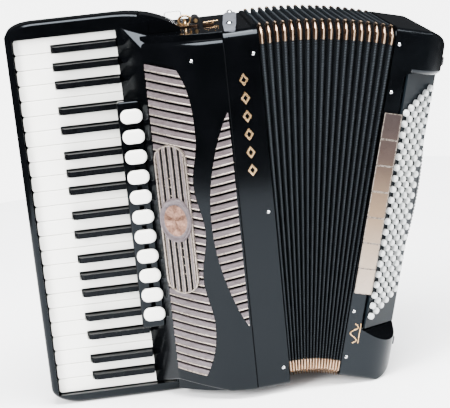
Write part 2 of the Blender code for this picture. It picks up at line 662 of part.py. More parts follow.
def make_bass_buttons(bass):
    """All caps on one light lattice: a chain of caps for each row, and two bars across the rows."""
    def place(along, out, z):
        x, y = chamfer_point(along, out)
        return Vector((x, y, z))

    def add_slab(bm, corners, low, high):
        """A flat outline in the board's plane, given as (along, z), with a thickness outwards."""
        under = [bm.verts.new(place(a, low, z)) for a, z in corners]
        over = [bm.verts.new(place(a, high, z)) for a, z in corners]
        bm.faces.new(under)
        bm.faces.new(list(reversed(over)))
        for i in range(len(corners)):
            k = (i + 1) % len(corners)
            bm.faces.new([under[i], over[i], over[k], under[k]])

    def chain(along, top):
        """Outline of one row: hexagonal caps joined by webs, down one side and up the other."""
        rise, reach = BUTTON_R * math.sin(math.radians(60)), BUTTON_R * math.cos(math.radians(60))
        near, far = [], []
        for j in range(BUTTONS_PER_ROW):
            z = top - j * BUTTON_PITCH
            for step, width in ((rise, reach), (0, BUTTON_R), (-rise, reach)):
                near.append((along - width, z + step))
                far.append((along + width, z + step))
        return near + far[::-1]

    chains = bmesh.new()
    across = bmesh.new()
    rows = [BUTTON_FIRST_ROW + r * BUTTON_ROW_PITCH for r in range(BUTTON_ROWS)]
    tops = [BUTTON_TOP_Z + r * BUTTON_STAGGER for r in range(BUTTON_ROWS)]
    for along, top in zip(rows, tops):
        add_slab(chains, chain(along, top), BUTTON_LIFT, BUTTON_LIFT + BUTTON_CAP)
    for row in BUTTON_BAR_ROWS:
        first, last = tops[0] - row * BUTTON_PITCH, tops[-1] - row * BUTTON_PITCH
        add_slab(across, [(rows[0], first - BUTTON_WEB), (rows[-1], last - BUTTON_WEB),
                          (rows[-1], last + BUTTON_WEB), (rows[0], first + BUTTON_WEB)], *BUTTON_BAR_OUT)
    lattice = piece_from("bass_buttons", chains, bass, PEARL)
    combine(lattice, piece_from("button_cross_bars_guide", across, bass, None), "UNION")


def make_bass_registers(bass):
    left, right = BASS_PLATE_X
    front, back = BASS_PLATE_Y
    bm = bmesh.new()
    for i in range(BASS_REGISTERS):
        high = BASS_REGISTER_TOP_Z - i * BASS_REGISTER_PITCH - BASS_PLATE_GAP
        low = high - BASS_REGISTER_PITCH + 2 * BASS_PLATE_GAP
        add_box(bm, (left, front, low), (right, back, high))
    tabs = piece_from("bass_register_tabs_guide", bm, bass, None)
    low = BASS_REGISTER_TOP_Z - BASS_REGISTERS * BASS_REGISTER_PITCH
    rail_left, rail_right = BASS_RAIL_X
    rail = box("bass_registers", (rail_left, (front + back) / 2, low + BASS_RAIL_END),
               (rail_right, BASS_RAIL_BACK_Y, BASS_REGISTER_TOP_Z - BASS_RAIL_END), bass, CHAMPAGNE)
    combine(rail, tabs, "UNION")


def make_strap(bass):
    """The hand strap: a leather band bowed out from the bass case, with a flat foot at each end."""
    face = BASS_RIGHT + GAP
    steps = 12
    run = STRAP_HIGH_Z - STRAP_LOW_Z
    outer, inner = [], []
    for i in range(steps + 1):
        share = i / steps
        z = STRAP_LOW_Z + STRAP_FOOT + (run - 2 * STRAP_FOOT) * share
        bow = STRAP_BULGE * math.sin(math.pi * share) ** 0.75
        inner.append((face + bow, z))
        outer.append((face + bow + STRAP_THICK, z))
    outline = [(face, STRAP_LOW_Z), *inner, (face, STRAP_HIGH_Z), (face + STRAP_THICK, STRAP_HIGH_Z)]
    outline += [*reversed(outer), (face + STRAP_THICK, STRAP_LOW_Z)]
    prism("bass_strap", outline, *STRAP_Y, "Y", bass, LEATHER)


def main():
    clear_scene()
    root = empty("instrument", None, (ORIGIN_X, ORIGIN_Y, -CHEEK_BOTTOM))
    make_treble_case(root)
    make_treble_reeds(root)
    make_grille(root)
    make_keyboard_frame(root)
    make_keys(root)
    make_register_board(root)
    make_bellows(root)
    fan = empty("fan_axis", root, (PIVOT_X, 0, PIVOT_Z), FAN_ANGLE)
    bass = empty("bass_side", fan, (-PIVOT_X, 0, -PIVOT_Z))
    make_bass_case(bass)
    make_bass_reeds(bass)
    make_button_board(bass)
    make_bass_buttons(bass)
    make_bass_registers(bass)
    make_air_button(bass)
    make_strap(bass)


main()
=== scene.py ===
"""The looks of the piano accordion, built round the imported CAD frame.

Shapes are drawn in the instrument's own coordinates, in metres: x = 0 where the bellows meet the
treble case, y = 0 at the bellows' front, z = 0 at the bellows' bottom. TREBLE moves them to the
row frame. The bass side is drawn closed, and BASS also turns it open about the fan axis.
"""

import json
import math

import bmesh
import bpy
import numpy as np
from mathutils import Matrix, Vector


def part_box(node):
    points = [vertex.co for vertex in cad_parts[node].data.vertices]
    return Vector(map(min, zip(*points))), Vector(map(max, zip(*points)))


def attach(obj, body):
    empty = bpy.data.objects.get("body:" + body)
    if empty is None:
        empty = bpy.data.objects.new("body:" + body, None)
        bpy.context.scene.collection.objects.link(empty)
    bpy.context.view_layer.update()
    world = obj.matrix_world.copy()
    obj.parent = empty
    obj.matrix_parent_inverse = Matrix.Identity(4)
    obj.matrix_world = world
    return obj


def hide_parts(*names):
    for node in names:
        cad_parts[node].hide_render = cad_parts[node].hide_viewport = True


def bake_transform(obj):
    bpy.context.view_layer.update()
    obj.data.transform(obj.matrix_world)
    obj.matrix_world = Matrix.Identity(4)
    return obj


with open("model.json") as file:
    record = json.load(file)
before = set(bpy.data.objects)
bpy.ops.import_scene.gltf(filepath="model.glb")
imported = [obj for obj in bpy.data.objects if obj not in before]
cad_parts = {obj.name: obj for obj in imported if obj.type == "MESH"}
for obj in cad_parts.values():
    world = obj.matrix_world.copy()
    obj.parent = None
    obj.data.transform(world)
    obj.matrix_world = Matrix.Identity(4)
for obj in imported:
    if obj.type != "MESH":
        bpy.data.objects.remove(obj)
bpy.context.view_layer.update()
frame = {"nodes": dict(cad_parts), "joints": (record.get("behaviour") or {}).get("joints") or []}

# ------------------------------------------------------------------ sizes from the frame

GAP = 0.0003
CASE_LOW, CASE_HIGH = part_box("treble_case")
DEPTH = 0.200
CASE_BOTTOM = -0.010
TREBLE = Matrix.Translation((CASE_HIGH.x + GAP, CASE_HIGH.y - DEPTH, CASE_LOW.z - CASE_BOTTOM))
FAN = next(j for j in frame["joints"] if j["name"] == "bellows_fan")
FAN_POINT = Vector(FAN["pos_m"])
FAN_ANGLE = -math.radians(FAN["range_deg"][0])
BASS = (Matrix.Translation(FAN_POINT) @ Matrix.Rotation(FAN_ANGLE, 4, "Y")
        @ Matrix.Translation(-FAN_POINT) @ TREBLE)


def local(node):
    """Lowest and highest corner of a treble node, in instrument coordinates."""
    back = TREBLE.inverted()
    low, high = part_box(node)
    return back @ low, back @ high


PIVOT = TREBLE.inverted() @ FAN_POINT
FOLDED = 2 * PIVOT.x  # thickness of the closed bellows
BELLOWS_HEIGHT = 0.457
CORNER_R = 0.022
CASE_LEFT = local("treble_case")[0].x
CASE_TOP = local("treble_case")[1].z
SEAM_X, SEAM_HALF = -0.0427, 0.0011  # the seam between the grille and the case front
CASE_FACE_Y = 0.002
GRILLE_FRONT_Y = -0.005
GRILLE_BOW = 0.036
GRILLE_SPAN = 0.100
SLOPE_LEFT, GRILLE_BOTTOM = local("treble_grille")[0].x, local("treble_grille")[0].z
GRILLE_TOP = local("treble_grille")[1].z
SLOPE_FOOT_Y = 0.0648
BASS_LEFT = FOLDED + GAP
BASS_RIGHT = 0.1325

# ------------------------------------------------------------------ materials


class Surface:
    """A Principled material with its nodes at hand."""

    def __init__(self, name, roughness=0.4, metallic=0.0, coat=0.0, specular=0.5):
        self.material = bpy.data.materials.new(name)
        self.material.use_nodes = True
        self.tree = self.material.node_tree
        self.shader = self.tree.nodes["Principled BSDF"]
        tint = (0.78, 0.89, 1.0, 1) if specular < 0.5 else (1, 1, 1, 1)
        for key, value in {"Roughness": roughness, "Metallic": metallic, "Coat Weight": coat,
                           "Coat Roughness": 0.05, "Specular IOR Level": specular,
                           "Specular Tint": tint}.items():
            self.shader.inputs[key].default_value = value

    def node(self, kind, **values):
        made = self.tree.nodes.new(kind)
        for key, value in values.items():
            made.inputs[key].default_value = value
        return made

    def link(self, source, target):
        self.tree.links.new(source, target)

    def place(self, scale=(1, 1, 1)):
        """Object coordinates, stretched."""
        mapping = self.node("ShaderNodeMapping", Scale=scale)
        self.link(self.node("ShaderNodeTexCoord").outputs["Object"], mapping.inputs["Vector"])
        return mapping.outputs["Vector"]

    def noise(self, scale, stretch=(1, 1, 1)):
        made = self.node("ShaderNodeTexNoise", Scale=scale, Detail=4.0)
        self.link(self.place(stretch), made.inputs["Vector"])
        return made.outputs["Fac"]

    def ramp(self, factor, stops):
        made = self.node("ShaderNodeValToRGB")
        self.link(factor, made.inputs["Fac"])
        points = made.color_ramp.elements
        while len(points) < len(stops):
            points.new(0.5)
        for point, (position, colour) in zip(points, stops):
            point.position = position
            point.color = (*colour, 1)
        self.link(made.outputs["Color"], self.shader.inputs["Base Color"])

    def spread(self, value, **limits):
        """A value carried from one range to another."""
        named = {name.replace("_", " "): limit for name, limit in limits.items()}
        made = self.node("ShaderNodeMapRange", **named)
        self.link(value, made.inputs["Value"])
        return made.outputs["Result"]

    def vary_roughness(self, factor, low, high):
        self.link(self.spread(factor, To_Min=low, To_Max=high), self.shader.inputs["Roughness"])

    def bump(self, height, strength, distance):
        made = self.node("ShaderNodeBump", Strength=strength, Distance=distance)
        self.link(height, made.inputs["Height"])
        self.link(made.outputs["Normal"], self.shader.inputs["Normal"])


def mottled(name, dark, light, scale, roughness, bump=0.0, stretch=(1, 1, 1), **rest):
    """Two close colours in soft noise, roughness that follows it, and a fine bump."""
    made = Surface(name, roughness=roughness[0], **rest)
    factor = made.noise(scale, stretch)
    made.ramp(factor, [(0.3, dark), (0.7, light)])
    made.vary_roughness(factor, *roughness)
    if bump:
        made.bump(made.noise(scale * 6, stretch), bump, 0.0004)
    return made.material


def leather(name, dark, light):
    made = Surface(name, roughness=0.5, specular=0.3)
    made.ramp(made.noise(60), [(0.3, dark), (0.75, light)])
    grain = made.node("ShaderNodeTexVoronoi", Scale=900.0)
    made.link(made.place(), grain.inputs["Vector"])
    made.vary_roughness(grain.outputs["Distance"], 0.42, 0.65)
    made.bump(grain.outputs["Distance"], 0.5, 0.0003)
    return made.material


def combined(surface, kind, operation, first, second):
    """A math node with its first input linked, and its second one linked or set."""
    made = surface.node(kind)
    made.operation = operation
    surface.link(first, made.inputs[0])
    if isinstance(second, bpy.types.NodeSocket):
        surface.link(second, made.inputs[1])
    elif second is not None:
        made.inputs[1].default_value = second
    return made


def embossed(name, groove, crest, pitch, roughness, specular):
    """Bellows cloth with a small repeated emboss running round the bellows. Its colour follows the emboss,
    broken up by noise: the troughs are painted darker as shade and the ridges painted lighter.
    """
    made = Surface(name, roughness=roughness, specular=specular)
    where = made.node("ShaderNodeTexCoord").outputs["Object"]
    around = [0, 2 * math.pi / pitch, 2 * math.pi / pitch]
    along = combined(made, "ShaderNodeVectorMath", "DOT_PRODUCT", where, around).outputs["Value"]
    wave = combined(made, "ShaderNodeMath", "SINE", along, None).outputs[0]
    level = made.spread(wave, From_Min=-1.0, From_Max=1.0)
    mixed = combined(made, "ShaderNodeMath", "MULTIPLY", level, made.noise(500)).outputs[0]
    # painted shade in the emboss's troughs, painted light on its ridges
    made.ramp(mixed, [(0.16, groove), (0.34, crest)])
    made.bump(level, 1.0, 0.0009)
    return made.material


def anodised(name, stops):
    """Brushed champagne metal whose tone changes along its height."""
    made = Surface(name, roughness=0.28, metallic=0.85)
    split = made.node("ShaderNodeSeparateXYZ")
    made.link(made.node("ShaderNodeTexCoord").outputs["Object"], split.inputs[0])
    made.ramp(made.spread(split.outputs["Z"], From_Min=0.11, From_Max=0.355), stops)
    brushed = made.noise(220, stretch=(1, 1, 18))
    made.vary_roughness(brushed, 0.22, 0.38)
    made.bump(brushed, 0.12, 0.0002)
    return made.material


BLACK = mottled("black celluloid", (0.0004, 0.0005, 0.0006), (0.0009, 0.0010, 0.0013), 24, (0.09, 0.13),
                specular=0.135)
BASS_BLACK = mottled("bass black celluloid", (0.0006, 0.0007, 0.0009), (0.0013, 0.0016, 0.0020), 24,
                     (0.14, 0.20), specular=0.18)
# painted shade: a flat near-black put in gaps, hollows and the spaces between parts, where shade falls
SHADOW = mottled("painted shade black", (0.0006, 0.0006, 0.0007), (0.0015, 0.0015, 0.0018), 300, (0.8, 0.95),
                 bump=0.4, specular=0.1)
IVORY = mottled("white celluloid", (0.88, 0.87, 0.81), (0.92, 0.915, 0.87), 30, (0.16, 0.24), bump=0.02,
                coat=0.3)
EBONY = mottled("black key", (0.0008, 0.0009, 0.0011), (0.0018, 0.0020, 0.0024), 90, (0.16, 0.26),
                bump=0.04, specular=0.06)
TAUPE = mottled("louvre metal", (0.066, 0.050, 0.053), (0.105, 0.086, 0.090), 260, (0.30, 0.42), bump=0.10,
                stretch=(0.15, 1, 1), metallic=0.3, specular=0.45)
# painted highlight: a light cream on the edges that catch the light, the louvres' lips and ends, the badge's
# rim and bars' shoulders, and the register plates' borders
HIGHLIGHT_CREAM = mottled("painted highlight cream", (0.17, 0.135, 0.11), (0.29, 0.25, 0.215), 300, (0.22, 0.34), bump=0.05,
              metallic=0.6)
GOLD = mottled("gilt", (0.42, 0.25, 0.11), (0.62, 0.42, 0.22), 160, (0.20, 0.34), bump=0.06, metallic=0.9)
BRASS = mottled("bellows corner brass", (0.045, 0.026, 0.017), (0.12, 0.07, 0.043), 120, (0.20, 0.36),
                bump=0.06, metallic=0.9)
# painted light: a lighter copy of the corner brass, for the highlight along each top crest and for the bottom
# corners, painted lighter than the top ones
LIT_CORNER_BRASS = mottled("painted light corner brass", (0.40, 0.25, 0.15), (0.62, 0.44, 0.30), 120, (0.24, 0.36),
                bump=0.06, metallic=0.55)
COPPER = mottled("medallion copper", (0.10, 0.045, 0.03), (0.30, 0.17, 0.12), 350, (0.26, 0.42), bump=0.15,
                 metallic=0.7)
CHROME = mottled("chrome", (0.60, 0.61, 0.63), (0.74, 0.75, 0.77), 80, (0.08, 0.16), bump=0.02,
                 metallic=1.0)
PEARL = mottled("pearl button", (0.42, 0.44, 0.44), (0.60, 0.61, 0.60), 240, (0.20, 0.32), bump=0.03,
                coat=0.4)
SLATE = mottled("slate board", (0.0022, 0.0036, 0.0048), (0.0038, 0.0058, 0.0075), 70, (0.30, 0.40),
                bump=0.05, specular=0.06)
RUBBER = mottled("rubber", (0.010, 0.010, 0.011), (0.018, 0.018, 0.020), 200, (0.55, 0.75), bump=0.3)
SPRUCE = mottled("spruce", (0.36, 0.24, 0.12), (0.56, 0.41, 0.24), 40, (0.5, 0.65), bump=0.2,
                 stretch=(6, 6, 0.5))
PAPER = mottled("paper", (0.90, 0.90, 0.90), (0.94, 0.94, 0.94), 2, (0.7, 0.8))
HIDE = leather("strap leather", (0.004, 0.0036, 0.0036), (0.009, 0.0083, 0.0083))
GREY_HIDE = leather("grey leather", (0.045, 0.047, 0.055), (0.075, 0.078, 0.088))
CLOTH = embossed("bellows cloth", (0.0008, 0.0009, 0.0011), (0.006, 0.007, 0.0085), 0.0030, 0.65, 0.08)
# the tape is lighter than the cloth: partly its own colour, partly painted light on the crests, with the
# cloth in the folds between them painted as shade
LIT_TAPE = embossed("bellows tape", (0.0015, 0.0018, 0.0022), (0.016, 0.019, 0.022), 0.0033, 0.55, 0.10)
PLATES = anodised("champagne plates", [(0.0, (0.38, 0.31, 0.25)), (0.45, (0.20, 0.135, 0.085)),
                                       (0.75, (0.075, 0.052, 0.044)), (1.0, (0.066, 0.050, 0.048))])

# ------------------------------------------------------------------ mesh tools


def make_object(name, mesh, place, materials):
    made = bpy.data.objects.new(name.replace(" ", "_"), mesh)
    bpy.context.scene.collection.objects.link(made)
    made.matrix_world = place
    for material in materials:
        mesh.materials.append(material)
    return made


class Net:
    """Points, faces and the faces' material numbers, which grow strip by strip."""

    def __init__(self):
        self.points, self.faces, self.marks = [], [], []

    def face(self, corners, mark=0):
        self.faces.append(corners)
        self.marks.append(mark)

    def loft(self, rings, closed=True, wrap=False, caps=(True, True), mark=None, cap_mark=0):
        """Faces from each ring of points to the next one, and on to the first one in a wrap."""
        first, count, total = len(self.points), len(rings[0]), len(rings)
        self.points += [p for ring in rings for p in ring]
        for i in range(total if wrap else total - 1):
            a, b = first + i * count, first + (i + 1) % total * count
            for k in range(count if closed else count - 1):
                m = (k + 1) % count
                self.face((a + k, a + m, b + m, b + k), int(mark(i, k)) if mark else 0)
        for wanted, a in zip(caps, (first, first + (total - 1) * count)):
            if wanted and not wrap:
                self.face(list(range(a, a + count)), cap_mark)

    def fan(self, first, count, tip, mark=0):
        """Triangles from a ring that is already there to one point."""
        self.points.append(tip)
        for k in range(count):
            self.face((first + k, first + (k + 1) % count, len(self.points) - 1), mark)

    def make(self, name, place, *materials):
        mesh = bpy.data.meshes.new(name)
        mesh.from_pydata([tuple(p) for p in self.points], [], self.faces)
        mesh.polygons.foreach_set("material_index", self.marks)
        bm = bmesh.new()
        bm.from_mesh(mesh)
        bmesh.ops.recalc_face_normals(bm, faces=bm.faces)
        bm.to_mesh(mesh)
        bm.free()
        return make_object(name, mesh, place, materials)


def loft(name, rings, place, *materials, **how):
    net = Net()
    net.loft(rings, **how)
    return net.make(name, place, *materials)


def apply(obj):
    bpy.context.view_layer.update()
    seen = obj.evaluated_get(bpy.context.evaluated_depsgraph_get())
    obj.data = bpy.data.meshes.new_from_object(seen)
    obj.modifiers.clear()


def settle(obj, angle=35):
    """Applies the modifiers, then shades smooth up to an angle, with large faces kept flat."""
    apply(obj)
    mesh = obj.data
    if "custom_normal" in mesh.attributes:
        mesh.attributes.remove(mesh.attributes["custom_normal"])
    mesh.shade_smooth()
    mesh.set_sharp_from_angle(angle=math.radians(angle))
    obj.modifiers.new("Normals", "WEIGHTED_NORMAL").keep_sharp = True
    apply(obj)
    return obj


def bevel(obj, width, segments=3, angle=40):
    step = obj.modifiers.new("Bevel", "BEVEL")
    step.width = width
    step.segments = segments
    step.limit_method = "ANGLE"
    step.angle_limit = math.radians(angle)
    step.use_clamp_overlap = True
    return settle(obj)


def roll_edges(obj, chosen, width, segments=6):
    """Rounds the edges by the share that `chosen` gives for their two ends."""
    mesh = obj.data
    weights = mesh.attributes.new("bevel_weight_edge", "FLOAT", "EDGE")
    values = [float(chosen(*(mesh.vertices[v].co for v in e.vertices))) for e in mesh.edges]
    weights.data.foreach_set("value", values)
    step = obj.modifiers.new("Roll", "BEVEL")
    step.width = width
    step.segments = segments
    step.profile = 0.38
    step.use_clamp_overlap = False
    step.limit_method = "WEIGHT"
    return settle(obj)


def combine(obj, tool, operation):
    step = obj.modifiers.new("Boolean", "BOOLEAN")
    step.operation = operation
    step.solver = "EXACT"
    step.object = tool
    settle(obj)
    bpy.data.objects.remove(tool)
    return obj


def lifted(outline, height, axis):
    """An outline of two coordinates, with its third one along the axis."""
    order = {"X": (2, 0, 1), "Y": (0, 2, 1), "Z": (0, 1, 2)}[axis]
    return [tuple((a, b, height)[i] for i in order) for a, b in outline]


def prism(name, outline, low, high, axis, place, material):
    return loft(name, [lifted(outline, low, axis), lifted(outline, high, axis)], place, material)


def carve(obj, outline, low, high, axis, place=TREBLE, operation="DIFFERENCE"):
    """Cuts a prism out of the object, or keeps what lies inside the prism."""
    combine(obj, prism("guide", outline, low, high, axis, place, BLACK), operation)


def ring(name, outer, inner, low, high, axis, place, material):
    """Like prism, between two outlines with the same number of points."""
    loops = ((outer, low), (outer, high), (inner, high), (inner, low))
    rings = [lifted(line, at, axis) for line, at in loops]
    return loft(name, rings, place, material, wrap=True)


def joined(name, pieces):
    """Several meshes in one, keeping their materials."""
    materials = []
    bm = bmesh.new()
    for piece in pieces:
        mesh = piece.data
        numbers = []
        for material in mesh.materials:
            if material not in materials:
                materials.append(material)
            numbers.append(materials.index(material))
        for face in mesh.polygons:
            face.material_index = numbers[face.material_index]
        bm.from_mesh(mesh)
    mesh = bpy.data.meshes.new(name)
    bm.to_mesh(mesh)
    bm.free()
    place = pieces[0].matrix_world.copy()
    for piece in pieces:
        bpy.data.objects.remove(piece)
    return settle(make_object(name, mesh, place, materials))


def turns(steps):
    return [2 * math.pi * k / steps for k in range(steps)]


def arc(centre, radius, start, end, steps=8):
    angles = [math.radians(start + (end - start) * i / steps) for i in range(steps + 1)]
    return [(centre[0] + radius * math.cos(a), centre[1] + radius * math.sin(a)) for a in angles]


def rounded(low, high, radius, steps=8):
    """A rectangle with round corners."""
    left, bottom, right, top = low[0] + radius, low[1] + radius, high[0] - radius, high[1] - radius
    centres = ((right, top), (left, top), (left, bottom), (right, bottom))
    return [p for n, centre in enumerate(centres) for p in arc(centre, radius, 90 * n, 90 * n + 90, steps)]


def rounded_about(middle, half_w, half_h, radius, steps=8):
    a, b = middle
    return rounded((a - half_w, b - half_h), (a + half_w, b + half_h), radius, steps)


def half_round(low, high, radii, steps):
    """A rectangle whose lower and upper right corners are round."""
    (left, bottom), (right, top), (first, second) = low, high, radii
    return [(left, bottom), *arc((right - first, bottom + first), first, -90, 0, steps[0]),
            *arc((right - second, top - second), second, 0, 90, steps[1]), (left, top)]


def turned(name, profile, place, material, steps=24):
    """A profile of (radius, height) spun about local Z."""
    rings = [[(r * math.cos(a), r * math.sin(a), h) for r, h in profile] for a in turns(steps)]
    made = loft(name, rings, place, material, closed=False, wrap=True)
    bm = bmesh.new()
    bm.from_mesh(made.data)
    bmesh.ops.remove_doubles(bm, verts=bm.verts, dist=0.00001)
    bm.to_mesh(made.data)
    bm.free()
    return settle(made)


def tube(name, points, radius, place, material, steps=10, closed=False):
    """A round bar along points."""
    points = [Vector(p) for p in points]
    last = len(points) - 1
    rings, side = [], None
    for i, p in enumerate(points):
        before = points[i - 1] if closed or i else p
        after = points[(i + 1) % len(points)] if closed or i < last else p
        along = (after - before).normalized()
        side = along.orthogonal() if side is None else side
        side = (side - along * side.dot(along)).normalized()
        other = along.cross(side)
        rings.append([p + radius * (math.cos(a) * side + math.sin(a) * other) for a in turns(steps)])
    return settle(loft(name, rings, place, material, wrap=closed), 50)


def keep(obj, body, slot, *nodes, name=None):
    """The piece rides on a body and may stand for CAD nodes. The slot argument is not used."""
    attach(obj, body)
    if nodes:
        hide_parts(*nodes)
    if name:
        obj.name = name


# ------------------------------------------------------------------ treble side

BOX_SETBACK = 0.0085  # from the grille's front to the case behind it


def grille_y(x):
    return GRILLE_FRONT_Y + GRILLE_BOW * ((SEAM_X - x) / GRILLE_SPAN) ** 2


def on_grille(x, z, out):
    """A point that stands out from the bowed grille."""
    slope = -2 * GRILLE_BOW * (SEAM_X - x) / GRILLE_SPAN ** 2
    length = math.hypot(slope, 1)
    return Vector((x + slope / length * out, grille_y(x) - out / length, z))


def grille_curve(start, end, setback, steps=28):
    xs = [start + (end - start) * i / steps for i in range(steps + 1)]
    return [(x, grille_y(x) + setback) for x in xs]


def case_strip_y(x):
    """Front of the case, right of the seam."""
    return CASE_FACE_Y + (GRILLE_FRONT_Y - CASE_FACE_Y) * x / SEAM_X


def make_bellows_frame(name, low, high, place, body):
    """The end frame where the bellows meet a case."""
    outer = rounded((0.0012, -0.0006), (DEPTH - 0.0012, BELLOWS_HEIGHT + 0.0006), CORNER_R, 10)
    inner = rounded((0.020, 0.018), (DEPTH - 0.020, BELLOWS_HEIGHT - 0.018), 0.012, 10)
    keep(bevel(ring(name, outer, inner, low, high, "X", place, BLACK), 0.0006, 2), body, "black_lacquer")


def make_treble_case():
    side = half_round((-0.02, CASE_BOTTOM), (DEPTH, CASE_TOP), (CORNER_R, CORNER_R), (12, 12))
    case = prism("treble case shell", side, CASE_LEFT, -GAP, "X", TREBLE, BLACK)
    front = [(0.01, case_strip_y(0.01)), (SEAM_X, GRILLE_FRONT_Y)]
    front += grille_curve(SEAM_X - 0.00001, CASE_LEFT, BOX_SETBACK)
    outside = CASE_LEFT - 0.01
    plan = front + [(outside, front[-1][1]), (outside, DEPTH + 0.01), (0.01, DEPTH + 0.01)]
    carve(case, plan, -0.05, 0.50, "Z", TREBLE, "INTERSECT")

    def rim_weight(a, b):
        """The front edges of the strip right of the seam, at the top and less at the bottom."""
        at_rim = abs(a.z - b.z) < 1e-5 and min(abs(a.z - CASE_TOP), abs(a.z - CASE_BOTTOM)) < 1e-5
        on_strip = all(p.x > SEAM_X - 1e-5 and p.y < CASE_FACE_Y + 1e-4 for p in (a, b))
        if not (at_rim and on_strip and abs(a.x - b.x) > 1e-3):
            return 0.0
        return 1.0 if a.z > 0.2 else 0.4

    roll_edges(case, rim_weight, 0.0135, 8)
    bevel(case, 0.0012, 3, 50)
    keep(case, "treble", "black_lacquer", "treble_case")
    make_bellows_frame("treble bellows frame", -0.0045, 0.0004, TREBLE, "treble")
    # the seam line is a strip of painted shade in the gap between the grille and the case front
    left, right = SEAM_X - SEAM_HALF, SEAM_X + 0.0002
    plan = [(left, GRILLE_FRONT_Y + 0.0006), (right, GRILLE_FRONT_Y - 0.0002), (right, 0.004), (left, 0.004)]
    line = prism("seam line", plan, CASE_BOTTOM + 0.006, GRILLE_TOP - 0.006, "Z", TREBLE, SHADOW)
    keep(line, "treble", "black_lacquer")


WAVE_X, WAVE_SWELL, WAVE_PITCH = -0.0931, 0.0044, 0.1225
FIRST_CREST_Z, LAST_CREST_Z = 0.083, 0.328
FIELD_LOW_Z, FIELD_HIGH_Z, FIELD_LEFT, FIELD_END_X = 0.0125, 0.4190, -0.1413, -0.1065
FIELD_TOP_TILT, FIELD_BOTTOM_TILT = math.radians(8.2), math.radians(13.8)
LEAF_RIGHT, LEAF_LOW_Z, LEAF_HIGH_Z, LEAF_WIDTH = -0.0458, 0.078, 0.357, 0.0345
LEAF_TILT = math.radians(-9.5)


def wave_edge(z):
    """Right edge of the left louvre field: three swells, drawn in past the outer crests."""
    crest = WAVE_X + WAVE_SWELL
    if z > LAST_CREST_Z:
        beyond = (z - LAST_CREST_Z) / (FIELD_HIGH_Z - LAST_CREST_Z)
        return crest + (FIELD_END_X - crest) * beyond ** 3
    if z < FIRST_CREST_Z:
        beyond = (FIRST_CREST_Z - z) / (FIRST_CREST_Z - FIELD_LOW_Z)
        return crest + (FIELD_END_X - crest) * beyond ** 2.2
    return WAVE_X + WAVE_SWELL * math.cos(2 * math.pi * (z - FIRST_CREST_Z) / WAVE_PITCH)


def leaf_edge(z):
    """Left edge of the right louvre field, a pointed leaf beside the seam."""
    share = min(max((z - LEAF_LOW_Z) / (LEAF_HIGH_Z - LEAF_LOW_Z), 0), 1)
    return LEAF_RIGHT - LEAF_WIDTH * math.sin(math.pi * share) ** 0.8


GRILLE_SHELL = 0.0045
GRILLE_ROLL = 0.0078
GRILLE_SETBACK = 0.0082
GRILLE_LOW_Z, GRILLE_RISE_X, GRILLE_RISE = -0.0087, -0.078, 0.0140
HOLLOW_END = SEAM_X - 0.003


def grille_low(x):
    """Lower edge of the grille: level by the seam, rising to the left."""
    if x < CASE_LEFT:
        share = (x - SLOPE_LEFT) / (CASE_LEFT - SLOPE_LEFT)
        return GRILLE_BOTTOM + (GRILLE_LOW_Z + GRILLE_RISE - GRILLE_BOTTOM) * share
    share = max((GRILLE_RISE_X - x) / (GRILLE_RISE_X - CASE_LEFT), 0)
    return GRILLE_LOW_Z + GRILLE_RISE * share ** 0.9


def make_grille():
    """A bowed cover with rolled top and bottom edges, open at the back, cut for both louvre fields."""
    end = SEAM_X - SEAM_HALF
    front = [(SLOPE_LEFT, SLOPE_FOOT_Y)] + grille_curve(CASE_LEFT, end, 0)
    back = [(SLOPE_LEFT + 0.009, SLOPE_FOOT_Y)] + grille_curve(CASE_LEFT + 0.002, end, GRILLE_SETBACK)
    rings = []
    for (x, y), (u, v) in zip(front, back):
        low = grille_low(x)
        rings.append([(x, y, low), (x, y, GRILLE_TOP), (u, v, GRILLE_TOP), (u, v, low)])
    grille = loft("treble grille cover", rings, TREBLE, BLACK)
    spots = {(round(x, 6), round(y, 6)) for x, y in front}

    def rim_weight(a, b):
        """The front edges, at the top and less at the bottom."""
        along = all((round(p.x, 6), round(p.y, 6)) in spots for p in (a, b)) and abs(a.x - b.x) > 1e-5
        if not along:
            return 0.0
        return 1.0 if a.z > 0.2 else 0.35

    roll_edges(grille, rim_weight, GRILLE_ROLL)
    inside = SLOPE_LEFT + 0.006
    hollow = [(inside, SLOPE_FOOT_Y + 0.01), *grille_curve(CASE_LEFT + 0.002, HOLLOW_END, GRILLE_SHELL),
              (HOLLOW_END, 0.10), (inside, 0.10)]
    carve(grille, hollow, 0.009, GRILLE_TOP - GRILLE_ROLL, "Z")
    zs = [FIELD_LOW_Z + (FIELD_HIGH_Z - FIELD_LOW_Z) * i / 60 for i in range(61)]
    width = FIELD_END_X - FIELD_LEFT
    low = FIELD_LOW_Z + width * math.tan(FIELD_BOTTOM_TILT)
    high = FIELD_HIGH_Z + width * math.tan(FIELD_TOP_TILT)
    left = [(FIELD_LEFT, low), *[(wave_edge(z), z) for z in zs], (FIELD_LEFT, high)]
    carve(grille, left, -0.03, 0.055, "Y")
    zs = [LEAF_LOW_Z + (LEAF_HIGH_Z - LEAF_LOW_Z) * i / 36 for i in range(1, 36)]
    right = [(LEAF_RIGHT, LEAF_HIGH_Z), (LEAF_RIGHT, LEAF_LOW_Z), *[(leaf_edge(z), z) for z in zs]]
    carve(grille, right, -0.03, 0.03, "Y")
    keep(grille, "treble", "black_plastic", "treble_grille")
    # the cloth behind the louvres is in the painted shade black, so the gaps between the slats read as shade
    front = grille_curve(-0.1410, -0.0450, GRILLE_SHELL + GAP)
    back = grille_curve(-0.0450, -0.1410, GRILLE_SHELL + 0.0016)
    cloth = prism("grille cloth", front + back, 0.010, 0.428, "Z", TREBLE, SHADOW)
    keep(cloth, "treble", "louvre_metal")


FAIRING_RIGHT = (-0.1306, 0.0417)
BROW_POINT, BROW_NORMAL = (-0.1521, 0.0420, 0.4519), (-0.109, -0.753, 0.649)
TOP_POINT, TOP_NORMAL = (-0.1674, 0.0575, 0.4674), (0.317, 0.0, 0.948)


